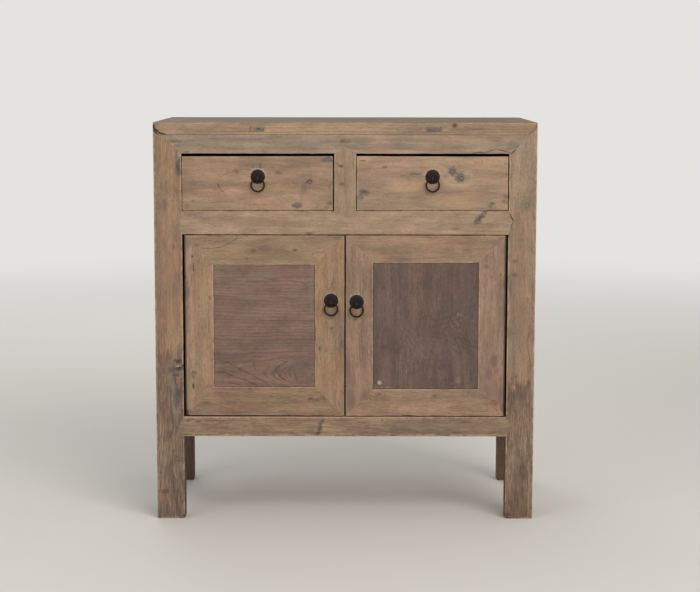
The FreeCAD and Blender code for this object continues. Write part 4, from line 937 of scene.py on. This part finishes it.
# A copy of a board with eased edges, the unevenness of hand planing, and knocks.
# It stays inside the board's own box, and its hidden faces stay where they are.
wearSettings = {
    "arris": 0.9 * mm,       # easing of an edge that hands reach
    "joint": 0.35 * mm,      # easing where two boards meet
    "planing": 0.22 * mm,
    "knock": 0.9 * mm,
    "step": 13 * mm,         # between the cuts along a board
    "margin": 4 * mm,        # between an edge and the first cut beside it
    "broad": 40 * mm,        # a side wider than this is cut again every broadStep
    "broadStep": 22 * mm,
    "easedFrom": 0.6,        # radians between the two faces of an edge
    "smoothBelow": 24,       # degrees
    "trimDeep": 21 * mm,     # how far behind the face a trim and a chip reach
    "chipDeep": 14 * mm,
    "chipCuts": (-0.85, -0.55, -0.3, 0, 0.3, 0.55, 0.85),    # shares of a chip's reach
    "patterns": {"planing": 9, "knock": 34, "pit": 90},      # how close together, per metre
}

# Sides of a board that lie against a neighbour, so that their edges are joints
flushSides = {
    "top_front_rail": ((2, 1),), "top_back_rail": ((2, 1),),
    "left_top_rail": ((2, 1),), "right_top_rail": ((2, 1),),
    "top_frame_front": ((2, 0), (1, 1)), "top_frame_back": ((2, 0), (1, 0)),
    "top_frame_left": ((2, 0), (0, 1)), "top_frame_right": ((2, 0), (0, 0)),
    "top_panel": ((0, 0), (0, 1), (1, 0), (1, 1)),
    "left_door_meeting_stile": ((0, 1),), "right_door_meeting_stile": ((0, 0),),
}

# Corners that have lost wood: x, z, reach and depth in millimetres on the front
chips = {
    "left_door_bottom_rail": ((-379, 251, 13, 2.0), (-352, 250.5, 6, 1.2), (-362, 251, 5, 1.2)),
    "left_door_hinge_stile": ((-380, 256, 10, 2.2),),
    "front_right_leg": ((385, 2, 14, 3.2), (448, 1, 7, 2.0)),
    "front_left_leg": ((-386, 2, 10, 2.2), (-449, 2, 6, 1.6), (-385, 372, 7, 1.5)),
    "top_frame_front": ((-449, 925, 9, 2.2), (449, 946, 7, 2.0), (-449, 947, 7, 2.0)),
    "middle_front_rail": ((329, 740, 6, 1.4),),
}

# Edges planed back a little further, so that the gaps beside them are wider:
# axis, end, and millimetres at the low and at the high end of the board
trims = {
    "left_drawer_front": ((2, 1, 1.6, 0.8), (0, 1, 1.6, 1.6)),
    "right_drawer_front": ((2, 1, 0.6, 1.2), (0, 1, 0.5, 0.5)),
    "left_door_top_rail": ((2, 1, 0.7, 0.9),),
    "left_door_bottom_rail": ((2, 0, 1.8, 0.9),),
    "left_door_hinge_stile": ((2, 1, 0.7, 0.7), (2, 0, 1.9, 1.9), (0, 0, 0.0, 0.7)),
    "left_door_meeting_stile": ((2, 1, 0.9, 0.9), (2, 0, 0.9, 0.9), (0, 1, 0.45, 0.4)),
    "right_door_top_rail": ((2, 1, 0.6, 0.6),),
    "right_door_bottom_rail": ((2, 0, 0.8, 0.8),),
    "right_door_hinge_stile": ((2, 1, 0.6, 0.6), (2, 0, 0.8, 0.8)),
    "right_door_meeting_stile": ((2, 1, 0.6, 0.6), (2, 0, 0.8, 0.8), (0, 0, 0.4, 0.45)),
}


# Whether a face lies in a side of the board's box that isn't a joint
def onBoxSide(face, low, high, flush):
    centre = face.calc_center_median()
    for axis in range(3):
        if abs(face.normal[axis]) > 0.999:
            for end, corner in enumerate((low, high)):
                if abs(centre[axis] - corner[axis]) < 0.05 * mm:
                    return (axis, end) not in flush
    return False


def easeEdges(mesh, edges, width, segments):
    if edges:
        bmesh.ops.bevel(mesh, geom=edges, offset=width, offset_type="OFFSET", segments=segments,
                        profile=0.5, affect="EDGES", clamp_overlap=True, material=-1)


def cutAcross(mesh, axis, places):
    normal = Vector((0, 0, 0))
    normal[axis] = 1
    for place in places:
        parts = mesh.verts[:] + mesh.edges[:] + mesh.faces[:]
        bmesh.ops.bisect_plane(mesh, geom=parts, plane_co=normal * place, plane_no=normal, dist=mm / 1000)


# How far a point has been worn inwards from a side that shows
def wornDepth(point, seed):
    fine = wearSettings["patterns"]["planing"]
    broad = noise.noise(Vector((point.x * fine, point.y * fine, point.z * fine + seed * 7)))
    return wearSettings["planing"] * (0.5 + 0.5 * broad)


def knockDepth(point, seed):
    coarse, fine = wearSettings["patterns"]["knock"], wearSettings["patterns"]["pit"]
    rough = noise.noise(Vector((point.x * coarse + seed, point.y * coarse, point.z * coarse)))
    rare = noise.noise(Vector((point.x * fine, point.y * fine + seed, point.z * fine)))
    return wearSettings["knock"] * (max(rough - 0.12, 0) + 1.2 * max(rare - 0.42, 0))


def wornBoard(node, look):
    low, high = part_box(node)
    flush = flushSides.get(node, ())
    size = high - low
    mesh = bmesh.new()
    mesh.from_mesh(frame["nodes"][node].data)
    bmesh.ops.remove_doubles(mesh, verts=mesh.verts, dist=mm / 100)
    bmesh.ops.dissolve_limit(mesh, angle_limit=math.radians(0.4), verts=mesh.verts, edges=mesh.edges,
                             use_dissolve_boundaries=False)
    sharp = [e for e in mesh.edges if len(e.link_faces) == 2 and e.is_convex
             and e.calc_face_angle(0) > wearSettings["easedFrom"]]
    shown = {f: onBoxSide(f, low, high, flush) for f in mesh.faces}
    handled = [e for e in sharp if all(shown[f] for f in e.link_faces)]
    joined = [e for e in sharp if e not in handled and any(shown[f] for f in e.link_faces)]
    easeEdges(mesh, handled, wearSettings["arris"], 2)
    joined = [e for e in joined if e.is_valid]
    easeEdges(mesh, joined, wearSettings["joint"], 1)

    grain = "xyz".index(look["grain"])
    step = wearSettings["step"] * (1 if low.y < -0.2 or look["worn"] > 2.5 else 2)
    count = max(int(size[grain] / step), 1)
    cutAcross(mesh, grain, [low[grain] + size[grain] * (i + 0.5) / count for i in range(count)])
    margin = wearSettings["margin"]
    for axis in range(3):
        if axis != grain and size[axis] > 4 * margin:
            cutAcross(mesh, axis, [low[axis] + margin, high[axis] - margin])
            if size[axis] > wearSettings["broad"]:
                pieces = max(int(size[axis] / wearSettings["broadStep"]), 2)
                cutAcross(mesh, axis, [low[axis] + size[axis] * i / pieces for i in range(1, pieces)])
    for cx, cz, reach, depth in chips.get(node, ()):
        for axis, place in ((0, cx), (2, cz)):
            cuts = [place * mm + reach * mm * share for share in wearSettings["chipCuts"]]
            cutAcross(mesh, axis, [at for at in cuts if low[axis] < at < high[axis]])

    middle = (low + high) / 2
    seed = look["seed"]
    nearSide = 1.05 * wearSettings["arris"]
    chipDeep = wearSettings["chipDeep"]
    for vertex in mesh.verts:
        point = vertex.co.copy()
        moves = Vector((0, 0, 0))
        close = []
        for axis in range(3):
            for end, corner, inward in ((0, low, 1), (1, high, -1)):
                away = abs(point[axis] - corner[axis])
                if away < nearSide and (axis, end) not in flush and axis != grain:
                    moves[axis] += inward * wornDepth(point, seed + 3 * axis + end)
                    close.append((axis, inward))
        if len(close) > 1:
            for axis, inward in close:
                moves[axis] += inward * knockDepth(point, seed)
        for axis, end, atLow, atHigh in trims.get(node, ()):
            corner, inward = (high, -1) if end else (low, 1)
            share = (point[grain] - low[grain]) / size[grain]
            if abs(point[axis] - corner[axis]) < nearSide and point.y < low.y + wearSettings["trimDeep"]:
                moves[axis] += inward * (atLow + (atHigh - atLow) * share) * mm
        for cx, cz, reach, depth in chips.get(node, ()):
            far = math.hypot(point.x - cx * mm, point.z - cz * mm) / (reach * mm)
            if far < 1 and point.y < low.y + chipDeep:
                fall = (1 - far * far) * depth * mm * (0.7 + 0.6 * noise.noise(point * 260))
                moves.y += fall * (1 - (point.y - low.y) / chipDeep)
                moves.x += fall * 0.5 * (1 if cx * mm < middle.x else -1)
                moves.z += fall * 0.5 * (1 if cz * mm < middle.z else -1)
        vertex.co = point + moves

    bmesh.ops.triangulate(mesh, faces=[f for f in mesh.faces if len(f.verts) > 4])
    board = newPiece(mesh, node + "_wood", woodMaterial(node, look), wearSettings["smoothBelow"])
    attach(board, bodyOf[node])
    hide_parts(node)
    return board


ironNodes = [n for n in frame["nodes"] if n.endswith(("_plate", "_staple", "_ring"))]
for node in sorted(set(frame["nodes"]) - set(ironNodes)):
    wornBoard(node, lookOf(node))
print("boards worn:", len(frame["nodes"]) - len(ironNodes))

# Forged iron, blackened, with rust where the rings rub and round the rims, and painted highlights on the
# plates' middles and on the staples
ironSettings = {
    "black": (12, 10, 11),
    "sheen": (19, 18, 21),
    "plateGlint": (17, 20, 26),       # painted highlight in the middle of a plate
    "rim": (46, 28, 20),
    "plateRust": (40, 27, 21),
    "ringRust": (46, 24, 12),
    "stapleGlint": (50, 54, 63),  # painted highlight, in bluish patches over the staple
    "metal": 0.1,
    "bump": 0.7,
    "specular": 0.22,
}


def ironMaterial(name, rustAndGlint, rustAndGlintLow, rustAndGlintHigh, centre=None):
    material, w, surface = newMaterial(name)
    spot = spotOn(w)
    hammer = w.noise(spot, (4.5, 4.5, 4.5), 2)
    scale = w.noise(spot, (1.1, 1.1, 1.1), 4, 0.65)
    patches = w.noise(spot, (7, 7, 7), 4, 0.6)
    rustAndGlintMask = w.ramp(w.maths("ADD", patches, w.maths("MULTIPLY", scale, 0.35)), rustAndGlintLow, rustAndGlintHigh)
    colour = w.mix(w.ramp(hammer, 0.35, 0.7), linear(ironSettings["black"]), linear(ironSettings["sheen"]))
    # A plate gets a bluish painted highlight in its middle and a brown rim
    if centre:
        away = w.vector("MULTIPLY", w.vector("SUBTRACT", spot, centre), (1, 0, 1))
        out = w.maths("SUBTRACT", w.vector("LENGTH", away, out="Value"), 2.5)
        out = w.maths("MULTIPLY_ADD", patches, 5.0, out)
        colour = w.mix(w.ramp(out, 8.5, 3.0, 0.0, 0.8), colour, linear(ironSettings["plateGlint"]))
        colour = w.mix(w.ramp(out, 10.5, 16.0, 0.0, 0.75), colour, linear(ironSettings["rim"]))
    # Rust patches; on the staple these patches are a painted highlight
    colour = w.mix(w.maths("MULTIPLY", rustAndGlintMask, 0.9), colour, linear(rustAndGlint))
    height = w.maths("MULTIPLY_ADD", scale, 0.10, w.maths("MULTIPLY", hammer, 0.35))
    bump = w.place("ShaderNodeBump", {"Strength": ironSettings["bump"], "Distance": mm, "Height": height})
    roughness = w.maths("MULTIPLY_ADD", rustAndGlintMask, 0.3, w.maths("MULTIPLY_ADD", scale, 0.2, 0.4))
    metal = w.ramp(rustAndGlintMask, 0.0, 1.0, ironSettings["metal"], 0.0)
    w.link(colour, surface.inputs["Base Color"])
    w.link(roughness, surface.inputs["Roughness"])
    w.link(metal, surface.inputs["Metallic"])
    w.link(bump.outputs[0], surface.inputs["Normal"])
    surface.inputs["Specular IOR Level"].default_value = ironSettings["specular"]
    return material


ringIron = ironMaterial("ring iron", ironSettings["ringRust"], 0.30, 0.62)
# The staple's bluish patches are a painted highlight, not rust
stapleIron = ironMaterial("staple iron", ironSettings["stapleGlint"], 0.4, 0.7)

pullSettings = {
    "steps": 72,
    "plateEdge": 0.9 * mm,       # thickness of the flat rim
    "rimShare": 0.84,            # the dome starts here
    "dent": 0.16 * mm,
    "wire": 1.95 * mm,
    "wireInset": 1.8 * mm,       # of the ring's centre line from its outside
    "broad": 1.18,               # the ring's section is this much wider seen from the front
    "uneven": 0.10 * mm,
    "eyeWire": 1.1 * mm,
    "eyeRadius": 3.4 * mm,
    "eyeInset": 4.5 * mm,        # of the eye's centre from the staple's front
    "legInset": 4.5 * mm,        # of a leg's middle from the staple's end
    "neckTall": 4.2 * mm,
    "neckSunk": 2 * mm,
    "legThick": 2 * mm,
    "legTall": 9 * mm,
    "legMiddle": 1.1 * mm,       # of a leg's middle from the staple's back
    "soft": 0.5 * mm,
    "smoothBelow": 50,           # degrees
}


def finishIron(mesh, node, material):
    bmesh.ops.recalc_face_normals(mesh, faces=mesh.faces)
    piece = newPiece(mesh, node + "_iron", material, pullSettings["smoothBelow"])
    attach(piece, bodyOf[node])
    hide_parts(node)


def spunPlate(node):
    low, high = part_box(node)
    middle = (low + high) / 2
    radius, height = (high.x - low.x) / 2, high.y - low.y
    rim = pullSettings["plateEdge"]
    dome = ((0, 1), (0.3, 0.985), (0.5, 0.93), (0.66, 0.80), (0.77, 0.62), (pullSettings["rimShare"], 0.45))
    outline = [(out, proud * height) for out, proud in dome]
    outline += [(0.87, rim), (0.965, rim), (1, 0.6 * rim), (1, 0)]
    mesh = bmesh.new()
    points = [mesh.verts.new((middle.x + out * radius, high.y - proud, middle.z)) for out, proud in outline]
    edges = [mesh.edges.new(pair) for pair in zip(points, points[1:])]
    bmesh.ops.spin(mesh, geom=points + edges, cent=middle, axis=(0, 1, 0), angle=2 * math.pi,
                   steps=pullSettings["steps"], use_merge=True)
    bmesh.ops.remove_doubles(mesh, verts=mesh.verts, dist=mm / 100)
    bmesh.ops.holes_fill(mesh, edges=[e for e in mesh.edges if e.is_boundary], sides=0)
    for vertex in mesh.verts:
        outward = Vector((vertex.co.x - middle.x, 0, vertex.co.z - middle.z))
        if vertex.co.y < high.y - mm / 10:
            vertex.co.y += pullSettings["dent"] * (0.5 + noise.noise(vertex.co * 320))
        if outward.length > 0.9 * radius:
            turn = outward.normalized()
            vertex.co -= turn * 0.35 * mm * (0.5 + 0.5 * noise.noise(turn * 2.2 + middle * 9))
    plateIron = ironMaterial(node + " iron", ironSettings["plateRust"], 0.58, 0.86, tuple(middle / mm))
    finishIron(mesh, node, plateIron)


# A closed hoop of wire round the axis through the centre, thinner or thicker from place to place
def hoop(mesh, centre, axis, radius, wire, sides, steps, flatten=1.0):
    side = Vector((0, 0, 1))
    start = bmesh.ops.create_circle(mesh, cap_ends=False, segments=sides, radius=wire)["verts"]
    across = axis.cross(side)
    place = Matrix((side, axis * flatten, across)).transposed().to_4x4()
    bmesh.ops.transform(mesh, matrix=Matrix.Translation(centre + side * radius) @ place, verts=start)
    edges = list({e for v in start for e in v.link_edges})
    bmesh.ops.spin(mesh, geom=start + edges, cent=centre, axis=axis, angle=2 * math.pi, steps=steps,
                   use_merge=True)


def forgedRing(node):
    low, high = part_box(node)
    middle = (low + high) / 2
    wire = pullSettings["wire"]
    radius = (high.x - low.x) / 2 - pullSettings["wireInset"]
    mesh = bmesh.new()
    hoop(mesh, middle, Vector((0, 1, 0)), radius, wire, 14, pullSettings["steps"])
    bmesh.ops.remove_doubles(mesh, verts=mesh.verts, dist=mm / 100)
    for vertex in mesh.verts:
        out = Vector((vertex.co.x - middle.x, 0, vertex.co.z - middle.z)).normalized()
        core = middle + out * radius
        away = (vertex.co - core).normalized()
        swell = noise.noise(out * 2.6 + middle * 17) * 0.6 + noise.noise(vertex.co * 420) * 0.5
        rough = pullSettings["uneven"] * (swell - 0.4)
        hung = max(out.z, 0)                    # worn thinner where it hangs
        flat = away.dot(out) * (wire * (pullSettings["broad"] - 0.28 * hung) + rough)
        vertex.co = core + out * flat + Vector((0, away.y * (wire * (1 - 0.10 * hung) + rough), 0))
    finishIron(mesh, node, ringIron)


# A bar with softened edges, centred on a point
def softBar(mesh, centre, size):
    bar = bmesh.ops.create_cube(mesh, size=1)["verts"]
    place = Matrix.Translation(centre) @ Matrix.Diagonal((*size, 1))
    bmesh.ops.transform(mesh, matrix=place, verts=bar)
    easeEdges(mesh, list({e for v in bar for e in v.link_edges}), pullSettings["soft"], 2)


# The eye stands on a neck that goes through the plate, and two legs are clinched behind the wood
def stapleEye(node):
    low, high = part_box(node)
    middle = (low + high) / 2
    radius = (high.z - low.z) / 2
    wide = (high.x - low.x) / 2
    wire = pullSettings["eyeWire"]
    eyeRadius = pullSettings["eyeRadius"]
    pivot = Vector((middle.x, low.y + pullSettings["eyeInset"], middle.z))
    mesh = bmesh.new()
    hoop(mesh, pivot, Vector((1, 0, 0)), eyeRadius, wire, 12, 40, flatten=wide / wire * 0.96)
    bmesh.ops.remove_doubles(mesh, verts=mesh.verts, dist=mm / 100)
    barWide = wide * 1.9
    neck = high.y - pivot.y - eyeRadius - pullSettings["neckSunk"]
    softBar(mesh, (middle.x, pivot.y + eyeRadius + neck / 2, middle.z),
            (barWide, neck, pullSettings["neckTall"]))
    for end in (-1, 1):
        legAt = middle.z + end * (radius - pullSettings["legInset"])
        softBar(mesh, (middle.x, high.y - pullSettings["legMiddle"], legAt),
                (barWide, pullSettings["legThick"], pullSettings["legTall"]))
    finishIron(mesh, node, stapleIron)


forge = {"plate": spunPlate, "staple": stapleEye, "ring": forgedRing}
for node in sorted(ironNodes):
    forge[node.split("_")[-1]](node)
print("pulls forged:", len(ironNodes))

# The stage: a pale floor that fades into the pale air round it, and soft lamps
stageSettings = {
    "floor": (226, 223, 218),
    "air": (228, 227, 224),
    "fadeFrom": 1.6,
    "fadeTo": 6.0,
    "size": 60,
    "roughness": 0.85,
    "specular": 0.2,
    "world": 0.55,
}

floorMaterial, wires, floorSurface = newMaterial("pale floor")
floorSurface.inputs["Base Color"].default_value = linear(stageSettings["floor"])
floorSurface.inputs["Roughness"].default_value = stageSettings["roughness"]
floorSurface.inputs["Specular IOR Level"].default_value = stageSettings["specular"]
floorSpot = wires.place("ShaderNodeTexCoord", {}).outputs["Object"]
distance = wires.vector("LENGTH", floorSpot, out="Value")
fade = wires.ramp(distance, stageSettings["fadeFrom"], stageSettings["fadeTo"])
rays = wires.place("ShaderNodeLightPath", {}).outputs
seen = wires.maths("MAXIMUM", rays["Is Camera Ray"], rays["Is Glossy Ray"])
glow = wires.place("ShaderNodeEmission", {"Color": linear(stageSettings["air"]), "Strength": 1.0})
faded = wires.maths("MULTIPLY", fade, seen)
blended = wires.place("ShaderNodeMixShader", {0: faded, 1: floorSurface.outputs[0], 2: glow.outputs[0]})
wires.link(blended.outputs[0], floorMaterial.node_tree.nodes["Material Output"].inputs[0])

floorMesh = bmesh.new()
bmesh.ops.create_grid(floorMesh, x_segments=8, y_segments=8, size=stageSettings["size"] / 2)
floor = newPiece(floorMesh, "floor", floorMaterial, wearSettings["smoothBelow"])

world = bpy.data.worlds.new("air")
world.use_nodes = True
bpy.context.scene.world = world
wires = Wiring(world.node_tree)
rays = wires.place("ShaderNodeLightPath", {}).outputs
seen = wires.maths("MAXIMUM", wires.maths("MAXIMUM", rays["Is Camera Ray"], rays["Is Glossy Ray"]),
                   rays["Is Transmission Ray"])
background = world.node_tree.nodes["Background"]
wires.link(wires.ramp(seen, 0, 1, stageSettings["world"], 1.0), background.inputs["Strength"])
background.inputs["Color"].default_value = linear(stageSettings["air"])

# Lamps: places, aims and sizes in metres, power in watts
lamps = {
    "key": {"at": (1.7, -3.2, 3.0), "aim": (0, 0, 0.55), "size": 2.6, "power": 96,
            "colour": (255, 252, 247)},
    "fill": {"at": (-2.6, -3.0, 1.5), "aim": (0, 0, 0.5), "size": 2.4, "power": 30,
             "colour": (247, 250, 255)},
    "back": {"at": (-0.8, 3.4, 3.0), "aim": (0, 0, 0.5), "size": 2.6, "power": 44,
             "colour": (255, 255, 255)},
}
for name, lamp in lamps.items():
    light = bpy.data.lights.new(name, "AREA")
    light.shape = "SQUARE"
    light.size = lamp["size"]
    light.energy = lamp["power"]
    light.color = linear(lamp["colour"])[:3]
    holder = bpy.data.objects.new(name + " lamp", light)
    bpy.context.scene.collection.objects.link(holder)
    holder.location = lamp["at"]
    holder.rotation_euler = (Vector(lamp["aim"]) - Vector(lamp["at"])).to_track_quat("-Z", "Y").to_euler()
print("stage and lamps placed")

# The camera stands where the photograph was taken from
cameraSettings = {
    "at": (0.0116, -4.3755, 1.0724),
    "tilt": math.radians(-7.306),
    "roll": 0.00131,
    "sensor": 36.0,
    "focalPixels": 1772.94,
    "pictureWide": 700,
    "farthest": 200,
}
lens = bpy.data.cameras.new("camera")
lens.sensor_width = cameraSettings["sensor"]
lens.lens = cameraSettings["focalPixels"] * cameraSettings["sensor"] / cameraSettings["pictureWide"]
lens.clip_end = cameraSettings["farthest"]
camera = bpy.data.objects.new("camera", lens)
bpy.context.scene.collection.objects.link(camera)
turn = Matrix.Rotation(math.pi / 2 + cameraSettings["tilt"], 4, "X")
turn = turn @ Matrix.Rotation(cameraSettings["roll"], 4, "Z")
camera.matrix_world = Matrix.Translation(cameraSettings["at"]) @ turn
bpy.context.scene.camera = camera
bpy.context.scene.view_settings.view_transform = "Standard"
